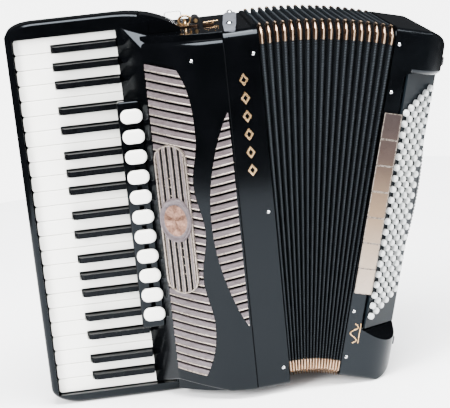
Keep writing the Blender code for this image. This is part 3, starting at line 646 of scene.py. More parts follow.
def make_fairing():
    """The shoulder between the slope's top and the frame's upper cheek, cut off by a slanted brow."""
    right, front = FAIRING_RIGHT
    outline = [(SLOPE_LEFT, SLOPE_FOOT_Y - 0.0004), (CASE_LEFT + 0.0004, grille_y(CASE_LEFT) - 0.0004),
               (right, front - 0.006), (right, 0.0660), (SLOPE_LEFT, 0.0700)]
    body = prism("fairing brow", outline, 0.4380, 0.4720, "Z", TREBLE, BLACK)
    bm = bmesh.new()
    bm.from_mesh(body.data)
    for point, normal in ((BROW_POINT, BROW_NORMAL), (TOP_POINT, TOP_NORMAL)):
        everything = bm.verts[:] + bm.edges[:] + bm.faces[:]
        cut = bmesh.ops.bisect_plane(bm, geom=everything, plane_co=point, plane_no=normal, clear_outer=True)
        rim = [g for g in cut["geom_cut"] if isinstance(g, bmesh.types.BMEdge)]
        bmesh.ops.contextual_create(bm, geom=rim)
    bmesh.ops.recalc_face_normals(bm, faces=bm.faces)
    bm.to_mesh(body.data)
    bm.free()
    bevel(body, 0.0016, 4, 20)
    outline = [(-0.1705, 0.0560), (right, 0.0560), (right, 0.0642), (-0.1705, 0.0642)]
    back = prism("fairing back", outline, 0.4450, 0.4690, "Z", TREBLE, BLACK)
    keep(joined("slope fairing", [body, back]), "treble", "black_plastic")


SLAT_PITCH, SLAT_STEPS = 0.0112, 14
# across a slat: how far it stands out, and its height, from its tucked upper edge to its lip
SLAT_SECTION = [(-0.0038, 0.0036), (-0.0006, 0.0040), (0.0002, 0.0034), (0.0006, -0.0016), (0.0007, -0.0020),
                (0.0013, -0.0026), (0.0013, -0.0036), (0.0004, -0.0042), (-0.0038, -0.0040)]
# the faces of each slat's lip that take the painted highlight
SLAT_HIGHLIGHT_FACES = (4, 5)


def slat_span(base, tilt, pivot_x, left_edge, right_edge, low, high):
    """Where a slanted line lies inside a field."""
    inside = []
    for i in range(481):
        x = FIELD_LEFT + (LEAF_RIGHT - FIELD_LEFT) * i / 480
        z = base + (pivot_x - x) * math.tan(tilt)
        if low < z < high and left_edge(z) < x < right_edge(z):
            inside.append(x)
    return (inside[0], inside[-1]) if len(inside) > 1 else None


def make_slats(name, left_edge, right_edge, low, high, tilt, pivot_x, number):
    """A field of slanted slats, each clipped to the field's outline."""
    net = Net()
    for k in range(number):
        base = low + (k + 0.45) * SLAT_PITCH
        spans = [slat_span(base + h, tilt, pivot_x, left_edge, right_edge, low - 0.02, high + 0.02)
                 for _, h in SLAT_SECTION]
        known = [span for span in spans if span]
        if not known:
            continue
        tip = min(known, key=lambda span: span[1] - span[0])[1]
        rings = [[] for _ in range(SLAT_STEPS + 1)]
        for (out, height), span in zip(SLAT_SECTION, spans):
            start, end = span or (tip - 0.0002, tip)
            for i, line in enumerate(rings):
                x = start + (end - start) * i / SLAT_STEPS
                line.append(on_grille(x, base + (pivot_x - x) * math.tan(tilt) + height, out))
        # the lip's faces and the slat's two ends are in the painted highlight cream
        net.loft(rings, closed=False, mark=lambda i, k: k in SLAT_HIGHLIGHT_FACES, cap_mark=1)
    return settle(net.make(name, TREBLE, TAUPE, HIGHLIGHT_CREAM), 40)


def make_louvres():
    left = make_slats("left slats", lambda z: FIELD_LEFT, wave_edge, FIELD_LOW_Z, FIELD_HIGH_Z,
                      FIELD_BOTTOM_TILT, FIELD_END_X, 36)
    keep(left, "treble", "louvre_metal", "grille_louvres")
    right = make_slats("right slats", leaf_edge, lambda z: LEAF_RIGHT, LEAF_LOW_Z, LEAF_HIGH_Z,
                       LEAF_TILT, LEAF_RIGHT, 26)
    keep(right, "treble", "louvre_metal")


BADGE_X, BADGE_Z = -0.1215, 0.223
BADGE_HALF_W, BADGE_HALF_H = 0.0190, 0.097
BAR_PITCH = 0.0070
# across a bar: sideways and out from the grille
BAR_SECTION = [(-0.0022, 0.0018), (-0.0020, 0.0032), (-0.0012, 0.0038), (0.0012, 0.0038), (0.0020, 0.0032),
               (0.0022, 0.0018)]


def on_badge(across, along, out):
    return on_grille(BADGE_X + across, BADGE_Z + along, out)


def badge_outline(inset, steps=16):
    """The badge's long round outline, drawn in by the inset."""
    radius, reach = BADGE_HALF_W - inset, BADGE_HALF_H - BADGE_HALF_W
    return arc((0, reach), radius, 0, 180, steps) + arc((0, -reach), radius, 180, 360, steps)


def make_badge():
    """An upright badge of bars in a rim, with an oval medallion of a plain rosette. The rim band and the
    bars' shoulders are in the painted highlight cream, and the floor between the bars is painted shade.
    """
    outer, inner = badge_outline(0), badge_outline(0.0017)
    loops = ((outer, -0.001), (outer, 0.0042), (inner, 0.0042), (inner, -0.001))
    rings = [[on_badge(a, b, out) for a, b in line] for line, out in loops]
    rim = bevel(loft("band", rings, TREBLE, HIGHLIGHT_CREAM, wrap=True), 0.0005, 2)
    # the floor under the bars is painted shade black, dark in the grooves between them
    floor = loft("floor", [[on_badge(a, b, 0.0018) for a, b in inner]], TREBLE, SHADOW, caps=(True, False))
    bars = []
    straight, reach = BADGE_HALF_H - BADGE_HALF_W, BADGE_HALF_W - 0.0012
    for centre in [(k - 2) * BAR_PITCH for k in range(5)]:
        half = [straight + math.sqrt(reach ** 2 - (centre + a) ** 2) for a, _ in BAR_SECTION]
        rings = [[on_badge(centre + a, sign * h, out) for (a, out), h in zip(BAR_SECTION, half)]
                 for sign in (-1, 1)]
        # the bars' two shoulders are in the painted highlight cream
        bars.append(loft("bar", rings, TREBLE, TAUPE, HIGHLIGHT_CREAM, closed=False, mark=lambda i, k: k in (1, 3)))
    keep(joined("grille badge", [rim, floor, *bars]), "treble", "louvre_metal")
    make_medallion()


def medallion_height(r, a):
    """How far the medallion stands out: a falling edge, a rim, a beaded ring and a rosette."""
    if r > 0.97:
        return 0.0020
    if r > 0.84:
        return 0.0060 + 0.0008 * math.sin((r - 0.84) / 0.13 * math.pi)
    if r > 0.70:
        return 0.0052 + 0.0004 * max(math.cos(24 * a), 0)
    petals = max(math.cos(4 * a), -0.3) * math.sin(math.pi * r / 0.7)
    return 0.0056 + 0.0014 * petals + 0.0010 * math.exp(-(r / 0.14) ** 2)


def make_medallion():
    half_w, half_h, count, spokes = 0.0192, 0.0290, 30, 96
    rings = [[on_badge(half_w * r * math.cos(a), half_h * r * math.sin(a), medallion_height(r, a))
              for a in turns(spokes)] for r in [i / count for i in range(1, count + 1)]]
    net = Net()
    net.loft(rings, caps=(False, False), mark=lambda i, k: (i + 1) / count < 0.70)
    net.fan(0, spokes, on_badge(0, 0, 0.0078), 1)
    keep(settle(net.make("medallion", TREBLE, TAUPE, COPPER), 60), "treble", "louvre_metal")


LOZENGE_X, LOZENGE_TOP_Z, LOZENGE_PITCH = -0.0225, 0.394, 0.0228
LOZENGE_HALF_W, LOZENGE_HALF_H = 0.0058, 0.0080


def make_gilt_column():
    """Six plain gilt lozenges down the case front, where a maker would put a name."""
    pieces = []
    face = case_strip_y(LOZENGE_X)
    for k in range(6):
        z = LOZENGE_TOP_Z - k * LOZENGE_PITCH
        outer, inner = [[(LOZENGE_X + s * a * LOZENGE_HALF_W, z + s * b * LOZENGE_HALF_H)
                         for a, b in ((1, 0), (0, 1), (-1, 0), (0, -1))] for s in (1, 0.52)]
        lozenge = ring("lozenge", outer, inner, face - 0.0012, face + 0.001, "Y", TREBLE, GOLD)
        pieces.append(bevel(lozenge, 0.0003, 2))
    keep(joined("gilt lozenges", pieces), "treble", "louvre_metal")


FRAME_FRONT_ROLL, FRAME_BACK_ROLL = 0.0052, 0.0235
FRAME_TAIL, FRAME_BED_X = (-0.107, -0.0183), -0.150
FRAME_LOW_CORNER, FRAME_HIGH_CORNER = (0.042, 0.022), (0.038, 0.018)
SWEEP_START_X, SWEEP_END, SWEEP_POWER = -0.185, (-0.090, 0.4588), 2.6
POCKET_WALL, POCKET_RIGHT, POCKET_DEPTH_Y = 0.0087, -0.1452, 0.0978


def frame_outline(left, top, bottom):
    """The keyboard frame seen from the front, from the case's bottom round to its top."""
    case_x, case_low = CASE_LEFT - GAP, CASE_BOTTOM - GAP
    line = [(case_x, case_low), (FRAME_TAIL[0], case_low), FRAME_TAIL, (FRAME_BED_X, bottom)]
    width, height = FRAME_LOW_CORNER
    for a in [math.pi / 2 * i / 14 for i in range(15)]:
        line.append((left + width * (1 - math.sin(a)), bottom + height * (1 - math.cos(a))))
    width, height = FRAME_HIGH_CORNER
    for a in [math.pi / 2 * i / 16 for i in range(17)]:
        line.append((left + width * (1 - math.cos(a)), top - height * (1 - math.sin(a))))
    end_x, end_z = SWEEP_END
    for share in [i / 20 for i in range(21)]:
        x = SWEEP_START_X + (end_x - SWEEP_START_X) * share
        line.append((x, top - (top - end_z) * share ** SWEEP_POWER))
    return line + [(end_x, CASE_TOP + GAP), (case_x, CASE_TOP + GAP)]


def make_frame():
    """The keyboard frame: two cheeks and a bed, its ends swept on to the case."""
    low, high = local("keyboard_frame")
    left, top, bottom = low.x, high.z, low.z
    body = prism("keyboard frame body", frame_outline(left, top, bottom), low.y, high.y, "Y", TREBLE, BLACK)

    def outline_weight(a, b):
        """The outline's edges at the front and the back, but for the joint with the case."""
        return abs(a.y - b.y) < 1e-6 and min(a.x, b.x) < CASE_LEFT - 0.001

    roll_edges(body, outline_weight, FRAME_FRONT_ROLL)
    margin, r = 0.0001, FRAME_BACK_ROLL
    side = half_round((low.y - 0.02, bottom - margin), (high.y + margin, top + margin), (r, r), (10, 10))
    carve(body, side, left - 0.02, 0.0, "X", TREBLE, "INTERSECT")
    first, last = local("white_key_01")[1].z + 0.001, local("white_key_24")[0].z - 0.001
    wall = left + POCKET_WALL
    pocket = [(wall, last), (POCKET_RIGHT, last), (POCKET_RIGHT, first), (wall, first)]
    carve(body, pocket, low.y - 0.02, POCKET_DEPTH_Y, "Y")
    keep(bevel(body, 0.0008, 2, 60), "treble", "black_lacquer", "keyboard_frame")


KEY_END_R, KEY_CLEAR, KEY_SIDE_CLEAR = 0.0042, 0.0008, 0.0007
BLACK_STEP_X, BLACK_LIFT = -0.1725, 0.0115


def white_outline(low, high, neighbours):
    """A white key seen from the front, rounded at the player's end and cut for the black keys."""
    r = KEY_END_R * 0.9
    line = arc((low.x + KEY_END_R, high.z - r), r, 90, 180, 6)
    line += arc((low.x + KEY_END_R, low.z + r), r, 180, 270, 6)
    cut_x = local("black_key_01")[0].x - KEY_CLEAR
    upper = [b[0] - KEY_SIDE_CLEAR for b in neighbours if b[1] > high.z > b[0]]
    lower = [b[1] + KEY_SIDE_CLEAR for b in neighbours if b[1] > low.z > b[0]]
    line += [(cut_x, low.z), (cut_x, lower[0]), (high.x, lower[0])] if lower else [(high.x, low.z)]
    line += [(high.x, upper[0]), (cut_x, upper[0]), (cut_x, high.z)] if upper else [(high.x, high.z)]
    return line


def make_keys():
    nodes = frame["nodes"]
    blacks = sorted(n for n in nodes if n.startswith("black_key"))
    spans = [(local(n)[0].z, local(n)[1].z) for n in blacks]
    for node in sorted(n for n in nodes if n.startswith("white_key")):
        low, high = local(node)
        key = prism(node + " cover", white_outline(low, high, spans), low.y, high.y, "Y", TREBLE, IVORY)
        keep(bevel(key, 0.0009, 4, 50), node, "white_key", node)
    for node in blacks:
        low, high = local(node)
        middle, half = (low.z + high.z) / 2, (high.z - low.z) / 2
        # stations along the key: x, front face, half width at the face as a share of the foot's
        stations = [(low.x, high.y, 1), (low.x + 0.0008, low.y + 0.0040, 0.80), (low.x + 0.0050, low.y, 0.74),
                    (BLACK_STEP_X, low.y, 0.74), (BLACK_STEP_X, low.y + BLACK_LIFT, 1),
                    (high.x, low.y + BLACK_LIFT, 1)]
        rings = [[(x, high.y, middle - half), (x, face, middle - half * top), (x, face, middle + half * top),
                  (x, high.y, middle + half)] for x, face, top in stations]
        key = loft(node + " cover", rings, TREBLE, EBONY)
        keep(bevel(key, 0.0008, 3, 30), node, "black_key", node)


def slope_x(y):
    """The grille's slope beside the register board."""
    top_y = grille_y(CASE_LEFT)
    return SLOPE_LEFT + (CASE_LEFT - SLOPE_LEFT) * (SLOPE_FOOT_Y - y) / (SLOPE_FOOT_Y - top_y)


REGISTER_X, REGISTER_PITCH, REGISTERS = -0.1640, 0.0261, 11
CAP_HALF_W, CAP_HALF_H, CAP_R = 0.0138, 0.0088, 0.0082
# a register cap: how far its outline is drawn in, and how far it stands out
CAP_STEPS = ((0.0, 0.0010), (0.0, 0.0040), (0.0006, 0.0050), (0.0018, 0.0056), (0.0040, 0.0060))


def make_register_board():
    low, high = local("register_board")
    top_z = local("treble_registers")[1].z - 0.0100
    joint = 0.0009
    outline = [(low.x, high.y), (low.x, low.y)] + [(slope_x(y) - joint, y) for y in (low.y, high.y)]
    board = bevel(prism("register shelf", outline, low.z, high.z, "Z", TREBLE, BLACK), 0.0035, 4, 50)
    left, right = REGISTER_X - 0.0030, REGISTER_X + 0.0030
    channel = [(left, 0.030), (right, 0.030), (right, 0.0495), (left, 0.0495)]
    carve(board, channel, top_z - (REGISTERS - 1) * REGISTER_PITCH - 0.008, top_z + 0.008, "Z")
    keep(board, "treble", "black_plastic", "register_board")
    pieces = []
    for i in range(REGISTERS):
        middle = (REGISTER_X, top_z - i * REGISTER_PITCH)
        rings = [lifted(rounded_about(middle, CAP_HALF_W - inset, CAP_HALF_H - inset, CAP_R - inset),
                        low.y - out, "Y") for inset, out in CAP_STEPS]
        # each cap's stem is in the painted shade black, a dark patch under and between the caps
        stem = rounded_about(middle, 0.0025, 0.0060, 0.002, 3)
        pieces += [settle(loft("cap", rings, TREBLE, IVORY), 60),
                   prism("stem", stem, low.y - 0.0020, low.y + 0.0048, "Y", TREBLE, SHADOW)]
    keep(joined("register switches", pieces), "coupler_switches", "white_key", "treble_registers")


def make_pins():
    """Domed pins that hold the bellows, and one that holds the grille."""
    profile = [(0.0, 0.0018), (0.0012, 0.0015), (0.0021, 0.0006), (0.0023, -0.0006), (0.0, -0.0006)]
    outward = Matrix.Rotation(math.pi / 2, 4, "X")
    strip = (-0.0075, case_strip_y(-0.0075))
    treble = [(*strip, z) for z in (0.424, 0.223, 0.015)] + [(-0.0840, grille_y(-0.084), 0.4235)]
    bass = [(0.0668, 0.0, z) for z in (0.437, 0.377, 0.0905, 0.0285)]
    for body, place, spots in (("treble", TREBLE, treble), ("bass", BASS, bass)):
        for number, spot in enumerate(spots):
            pin = turned("pin", profile, place @ Matrix.Translation(spot) @ outward, CHROME, 16)
            keep(pin, body, "steel", name=f"{body}_pin_{number + 1}")


TAB_X, TAB_HALF = -0.0290, 0.0085
TAB_STEPS = 22
# across the strap tab: sideways as a share of its half width, and height
TAB_SECTION = ((-1, 0), (-0.7, 0.0007), (0.7, 0.0007), (1, 0), (0.8, -0.0014), (-0.8, -0.0014))


def make_bellows_strap():
    """A leather strap that closes the bellows, held to the case top by two snaps."""
    rings = []
    for i in range(TAB_STEPS + 1):
        share = i / TAB_STEPS
        x, y = TAB_X - 0.004 + 0.016 * share, 0.004 + 0.172 * share
        z = CASE_TOP + 0.0016 + 0.0030 * math.sin(math.pi * share) ** 0.7 if i else CASE_TOP - 0.0005
        pinch = TAB_HALF * (0.80 + 0.20 * min(1, 5 * share, 5 * (1 - share)))
        rings.append([(x + pinch * a, y, z + h) for a, h in TAB_SECTION])
    keep(settle(loft("bellows strap", rings, TREBLE, GREY_HIDE), 50), "treble", "strap_leather")
    snap = [(0.0, 0.0030), (0.0022, 0.0026), (0.0036, 0.0012), (0.0044, 0.0003), (0.0, 0.0)]
    for number, (x, y) in enumerate(((TAB_X - 0.001, 0.040), (TAB_X + 0.010, 0.158))):
        place = TREBLE @ Matrix.Translation((x, y, CASE_TOP + 0.0046))
        keep(turned(f"strap snap {number + 1}", snap, place, CHROME, 20), "treble", "steel")


BRACKET_X, BRACKET_Y = -0.0790, 0.0980


def make_top_hardware():
    """The bellows strap, and the bracket, ring and buckle of the shoulder straps, on the case top."""
    make_bellows_strap()
    top, x, y = CASE_TOP, BRACKET_X, BRACKET_Y

    def rod(name, points, radius, material=GOLD, steps=10, closed=False):
        keep(tube(name, points, radius, TREBLE, material, steps, closed), "treble", "steel")

    plate = prism("strap bracket plate", rounded((x - 0.011, y - 0.018), (x + 0.013, y + 0.018), 0.005, 5),
                  top - 0.0004, top + 0.0018, "Z", TREBLE, BRASS)
    keep(bevel(plate, 0.0006, 2), "treble", "steel")
    loop = [(x - 0.003 + 0.0078 * math.cos(a), y, top + 0.0070 + 0.0062 * math.sin(a)) for a in turns(28)]
    rod("strap ring", loop, 0.0015, closed=True)
    half = ((0.0085, 0.0012), (0.0085, 0.0045), (0.0040, 0.0068))
    hoop = [(x - 0.003, y - a, top + h) for a, h in half]
    hoop += [(x - 0.003, y + a, top + h) for a, h in half[::-1]]
    rod("ring keeper", hoop, 0.0019)
    # the stub of the leather shoulder strap, folded over a bar beside the ring
    bar_x, bar_z = x + 0.0105, top + 0.0068
    fold, inside = arc((bar_x, bar_z), 0.0058, -90, 200, 14), arc((bar_x, bar_z), 0.0034, 200, -90, 14)
    line = [(x + 0.002, top + 0.0010), *fold, *inside, (x + 0.002, top + 0.0034)]
    stub = prism("shoulder strap stub", line, y - 0.012, y + 0.012, "Y", TREBLE, HIDE)
    keep(bevel(stub, 0.0005, 2), "treble", "strap_leather")
    rod("strap bar", [(bar_x, y - 0.0150, bar_z), (bar_x, y + 0.0150, bar_z)], 0.0024)
    wire = [(-0.1040, -0.0005), (-0.1040, 0.0085), (-0.1015, 0.0110), (-0.0845, 0.0110), (-0.0820, 0.0085),
            (-0.0820, -0.0005)]
    rod("wire loop", [(a, 0.178, top + h) for a, h in wire], 0.0006, CHROME, 8)
    outer = rounded((-0.0600, 0.078), (-0.0460, 0.096), 0.003, 4)
    inner = rounded((-0.0580, 0.080), (-0.0480, 0.094), 0.002, 4)
    buckle = ring("strap buckle", outer, inner, top + 0.0002, top + 0.0026, "Z", TREBLE, BRASS)
    keep(bevel(buckle, 0.0005, 2), "treble", "steel")
    rod("buckle prong", [(-0.0590, 0.087, top + 0.0030), (-0.0400, 0.089, top + 0.0034)], 0.0009, steps=8)


def make_treble_back():
    """A vented back cover with six screws."""
    panel = rounded((CASE_LEFT + 0.012, 0.020), (-0.012, 0.425), 0.012, 6)
    cover = prism("back cover", panel, DEPTH - 0.0006, DEPTH + 0.0014, "Y", TREBLE, BASS_BLACK)
    bevel(cover, 0.0006, 2)
    for z in [0.130 + row * 0.022 for row in range(9)]:
        slot = rounded((CASE_LEFT + 0.030, z - 0.0028), (-0.030, z + 0.0028), 0.0027, 5)
        carve(cover, slot, DEPTH - 0.003, DEPTH + 0.004, "Y")
    keep(cover, "treble", "black_lacquer")
    profile = [(0.0, 0.0010), (0.0016, 0.0009), (0.0026, 0.0002), (0.0, 0.0)]
    backward = Matrix.Rotation(-math.pi / 2, 4, "X")
    spots = [(x, DEPTH + 0.0013, z) for x in (CASE_LEFT + 0.018, -0.018) for z in (0.028, 0.2225, 0.417)]
    for number, spot in enumerate(spots):
        screw = turned("screw", profile, TREBLE @ Matrix.Translation(spot) @ backward, CHROME, 14)
        keep(screw, "treble", "steel", name=f"back_screw_{number + 1}")


# ------------------------------------------------------------------ bellows

FOLDS = 18
FOLD_DEPTH = 0.0095
FLAT = 0.30  # share of a fold that its taped crest takes
PHASES = (0.0, 0.10, 0.22, 0.35, 0.42, 0.50, 0.58, 0.65, 0.78, 0.90)
CORNER_PHASES = (0.16, 0.26, 0.35, 0.42, 0.50, 0.58, 0.65, 0.74, 0.84)
CORNER_REACH = 0.013  # how far the metal runs on past the round corner
FAR_Y, FAR_Z = DEPTH - CORNER_R, BELLOWS_HEIGHT - CORNER_R
# centre and first angle of each round corner, in y and z
TOP_CORNERS = ((FAR_Y, FAR_Z, 0), (CORNER_R, FAR_Z, 90))
BOTTOM_CORNERS = ((CORNER_R, CORNER_R, 180), (FAR_Y, CORNER_R, 270))


def fan_point(share, x, y, z):
    """A point of the closed bellows, turned by its share of the fan angle."""
    c, s = math.cos(FAN_ANGLE * share), math.sin(FAN_ANGLE * share)
    dx, dz = x - PIVOT.x, z - PIVOT.z
    return (c * dx + s * dz + PIVOT.x, y, -s * dx + c * dz + PIVOT.z)


def fold_depth(phase):
    off = abs(2 * phase - 1)
    crown = 0.0005 * min(off / FLAT, 1) ** 2
    return crown + FOLD_DEPTH * (max(off - FLAT, 0) / (1 - FLAT)) ** 0.9


def corner_path(y, z, start, steps=10):
    """A round corner of the bellows in y and z, with its inward directions."""
    angles = [math.radians(start + 90 * i / steps) for i in range(steps + 1)]
    rays = [(math.cos(a), math.sin(a)) for a in angles]
    return [(y + CORNER_R * c, z + CORNER_R * s, -c, -s) for c, s in rays]


def fold_ring(path, share, phase, proud=0.0):
    """The path drawn in by its fold, and less so at the top, where the fan draws the folds apart."""
    line = []
    for y, z, ny, nz in path:
        depth = fold_depth(phase) * (1 - 0.45 * z / BELLOWS_HEIGHT) - proud
        line.append(fan_point(share, GAP + (FOLDED - 2 * GAP) * share, y + ny * depth, z + nz * depth))
    return line


def bend(obj):
    """Bakes the piece's placement into its mesh; its points were already turned by their own share of the fan
    angle where they were drawn.
    """
    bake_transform(obj)


def make_bellows_skin():
    path = [p for corner in TOP_CORNERS + BOTTOM_CORNERS for p in corner_path(*corner)]
    stations = [((fold + phase) / FOLDS, phase) for fold in range(FOLDS) for phase in PHASES] + [(1.0, 0.0)]
    # the crests are in the lighter tape and the folds between them in the darker cloth: painted light on the
    # crests, painted shade in the folds
    skin = loft("bellows skin", [fold_ring(path, *station) for station in stations], TREBLE, CLOTH, LIT_TAPE,
                caps=(False, False), mark=lambda i, k: 0.34 < stations[i][1] < 0.64)
    settle(skin, 50)
    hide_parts(*[f"bellows_frame_{i + 1}" for i in range(4)])
    bend(skin)


def make_bellows_corners():
    """A small metal saddle on each fold at each of the four corners. The top ones are dark brass with a
    painted highlight of lighter brass along each crest; the bottom ones are wholly in the lighter brass,
    painted lighter than the top ones.
    """
    kinds = (("top", TOP_CORNERS, (BRASS, LIT_CORNER_BRASS)), ("bottom", BOTTOM_CORNERS, (LIT_CORNER_BRASS, LIT_CORNER_BRASS)))
    for side, corners, looks in kinds:
        net, shares = Net(), []
        for corner in corners:
            path = corner_path(*corner)
            for end, step in ((0, -1), (-1, 1)):
                y, z, ny, nz = path[end]
                extra = (y - step * nz * CORNER_REACH, z + step * ny * CORNER_REACH, ny, nz)
                path.insert(0 if end == 0 else len(path), extra)
            for fold in range(FOLDS):
                rings = [fold_ring(path, (fold + phase) / FOLDS, phase, 0.0007) for phase in CORNER_PHASES]
                # the middle of each saddle, on the crest, takes the painted highlight
                net.loft(rings, closed=False, caps=(False, False),
                         mark=lambda i, k: 0.41 < CORNER_PHASES[i] < 0.57)
                shares += [(fold + phase) / FOLDS for phase in CORNER_PHASES for _ in path]
        saddle = settle(net.make(f"bellows {side} corners", TREBLE, *looks), 50)
        bend(saddle)


# ------------------------------------------------------------------ bass side

BASS_CORNER_R, BASS_FRONT_R, BASS_BACK_R = 0.028, 0.040, 0.020
SLANT_START = (0.0845, 0.0010)
SLANT = math.radians(47.8)
SLANT_LENGTH = 0.0710
PLATE_THICK = 0.003
RECESS_TOP = 0.403
RECESS_BOTTOM = 0.068
RECESS_SLOPE = math.tan(math.radians(31))
BASS_BROW_ROLL = 0.0060


def on_slant(along, out, z):
    """A point on the button board, along the slant, out from it and up."""
    c, s = math.cos(SLANT), math.sin(SLANT)
    return Vector((SLANT_START[0] + along * c + out * s, SLANT_START[1] + along * s - out * c, z))


def brow_weight(a, b):
    """The recess's upper edge, where it meets the outside of the case."""
    def outer(p):
        return p.y < SLANT_START[1] + (p.x - SLANT_START[0]) * math.tan(SLANT) - 0.002
    return all(abs(p.z - RECESS_TOP) < 2e-4 and outer(p) for p in (a, b))


def make_bass_case():
    front_view = half_round((BASS_LEFT, 0), (BASS_RIGHT, BELLOWS_HEIGHT), (BASS_CORNER_R,) * 2, (14, 14))
    case = prism("bass case shell", front_view, 0, DEPTH, "Y", BASS, BASS_BLACK)
    plan = half_round((0.05, 0), (BASS_RIGHT, DEPTH), (BASS_FRONT_R, BASS_BACK_R), (18, 12))
    carve(case, plan, -0.02, 0.48, "Z", BASS, "INTERSECT")
    # the front and back edges at the top and bottom are rounded too
    side = rounded((0, 0), (DEPTH, BELLOWS_HEIGHT), 0.009, 8)
    carve(case, side, 0.04, 0.16, "X", BASS, "INTERSECT")
    depth, reach = -(PLATE_THICK + GAP), 0.090
    corners = ((depth, RECESS_BOTTOM), (reach, RECESS_BOTTOM - reach * RECESS_SLOPE), (reach, RECESS_TOP),
               (depth, RECESS_TOP))
    rings = [[on_slant(along, out, z) for out, z in corners] for along in (-0.010, 0.120)]
    recess = loft("recess guide", rings, BASS, SHADOW)
    window = [(0.0780, -0.1), (0.3, -0.1), (0.3, RECESS_TOP),
              *arc((0.0880, RECESS_TOP - 0.0100), 0.0100, 90, 180, 8)]
    carve(recess, window, -0.1, 0.2, "Y", BASS, "INTERSECT")
    combine(case, recess, "DIFFERENCE")
    roll_edges(case, brow_weight, BASS_BROW_ROLL)
    bevel(case, 0.0010, 3, 40)
    keep(case, "bass", "black_lacquer", "bass_case")
    make_bellows_frame("bass bellows frame", BASS_LEFT - 0.0006, BASS_LEFT + 0.0036, BASS, "bass")
    feet = []
    for spot in [(y, z) for y in (0.056, 0.172) for z in (0.042, 0.418)]:
        foot = prism("foot", rounded_about(spot, 0.006, 0.0055, 0.0018, 4), BASS_RIGHT - 0.002,
                     BASS_RIGHT + 0.006, "X", BASS, RUBBER)
        feet.append(bevel(foot, 0.0008, 2))
    keep(joined("bass feet", feet), "bass", "black_lacquer")


BUTTON_ROWS, BUTTONS_PER_ROW = 6, 20
BUTTON_PITCH, ROW_PITCH, STAGGER = 0.01407, 0.0102, 0.0060
FIRST_ROW, BUTTON_TOP_Z = 0.0065, 0.3530
# radius and height of the rings that draw a bore's shallow rim, and of a button's cap below its crown
BORE_RINGS = ((0.0060, 0.0001), (0.0058, 0.0004), (0.0056, 0.0003), (0.0, 0.00025))
CAP_RINGS = ((0.0012, 0.0067), (0.0026, 0.0063), (0.0036, 0.0056), (0.0042, 0.0046), (0.0043, 0.0036),
             (0.0043, 0.0008))
CAP_HEIGHT = 0.0068


def button_places():
    """Where each button stands on the slant, its axis along local Z."""
    c, s = math.cos(SLANT), math.sin(SLANT)
    turn = Matrix(((c, 0, s), (s, 0, -c), (0, 1, 0))).to_4x4()
    return [Matrix.Translation(on_slant(FIRST_ROW + row * ROW_PITCH, 0,
                                        BUTTON_TOP_Z + row * STAGGER - k * BUTTON_PITCH)) @ turn
            for row in range(BUTTON_ROWS) for k in range(BUTTONS_PER_ROW)]


def circles(place, rings, steps):
    return [[place @ Vector((r * math.cos(a), r * math.sin(a), h)) for a in turns(steps)] for r, h in rings]


def make_button_board():
    end = SLANT_LENGTH - PLATE_THICK
    line = [(0.0003, 0), (SLANT_LENGTH, 0), (end, -PLATE_THICK), (0.0003, -PLATE_THICK)]
    rings = [[on_slant(a, out, z) for a, out in line] for z in (0.0685, RECESS_TOP - GAP)]
    board = bevel(loft("button board", rings, BASS, SLATE), 0.0006, 2)
    net = Net()
    for place in button_places():
        # the third ring of each bore is painted shade black, a dark ring of painted shade round each button
        net.loft(circles(place, BORE_RINGS, 16), caps=(False, False), mark=lambda i, k: i == 2)
    bores = net.make("button bores", BASS, SLATE, SHADOW)
    keep(board, "bass", "button_board", "bass_button_board")
    keep(settle(bores), "bass", "button_board")


def make_buttons():
    """120 domed caps."""
    net, steps = Net(), 18
    for place in button_places():
        first = len(net.points)
        net.loft(circles(place, CAP_RINGS, steps), caps=(False, True))
        net.fan(first, steps, place @ Vector((0, 0, CAP_HEIGHT)))
    caps = settle(net.make("bass button caps", BASS, PEARL), 60)
    keep(caps, "bass_buttons", "pearl", "bass_buttons")


def make_bass_plates():
    pieces = []
    left, right, top, pitch = 0.0625, 0.0848, 0.3515, 0.0337
    for i in range(7):
        high = top - i * pitch - 0.0003
        low = high - pitch + 0.0006
        outer = rounded((left, low), (right, high), 0.0008, 2)
        inner = rounded((left + 0.0009, low + 0.0007), (right - 0.0009, high - 0.0007), 0.0004, 2)
        plate = prism("plate", outer, -0.0036, -0.0022, "Y", BASS, PLATES)
        # each plate's border is in the painted highlight cream
        pieces += [bevel(plate, 0.0003, 2), ring("border", outer, inner, -0.0041, -0.0035, "Y", BASS, HIGHLIGHT_CREAM)]
    # the rail behind the plates is painted shade black, seen in the gaps between them
    rail = rounded((0.0655, 0.118), (0.0755, 0.3495), 0.001, 2)
    pieces.append(prism("rail", rail, -0.0024, 0.0050, "Y", BASS, SHADOW))
    keep(joined("register plates", pieces), "bass_registers", "champagne_metal", "bass_registers")


def make_bass_scroll():
    """A small gilt scroll and rule low on the bass front."""
    line = [(0.0712 + 0.0045 * math.sin(3 * math.pi * t), -0.0006, 0.0745 - 0.026 * t)
            for t in [i / 36 for i in range(37)]]
    rule = [(0.0785, -0.0005, 0.0755), (0.0785, -0.0005, 0.0490)]
    for name, points, radius in (("gilt scroll", line, 0.0009), ("gilt rule", rule, 0.0007)):
        keep(tube(name, points, radius, BASS, GOLD, 8), "bass", "champagne_metal")


STRAP_LOW, STRAP_HIGH, STRAP_FRONT, STRAP_BACK = 0.050, 0.410, 0.124, 0.178
STRAP_BULGE, STRAP_THICK, STRAP_FOOT = 0.0175, 0.0035, 0.035
STRAP_FACE = BASS_RIGHT + GAP
STRAP_MIDDLE, STRAP_HALF = (STRAP_BACK + STRAP_FRONT) / 2, (STRAP_BACK - STRAP_FRONT) / 2
STRAP_ROWS, STRAP_COLUMNS = 64, 14


def strap_bow(z):
    share = min(max((z - STRAP_LOW - STRAP_FOOT) / (STRAP_HIGH - STRAP_LOW - 2 * STRAP_FOOT), 0), 1)
    return STRAP_BULGE * math.sin(math.pi * share) ** 0.75


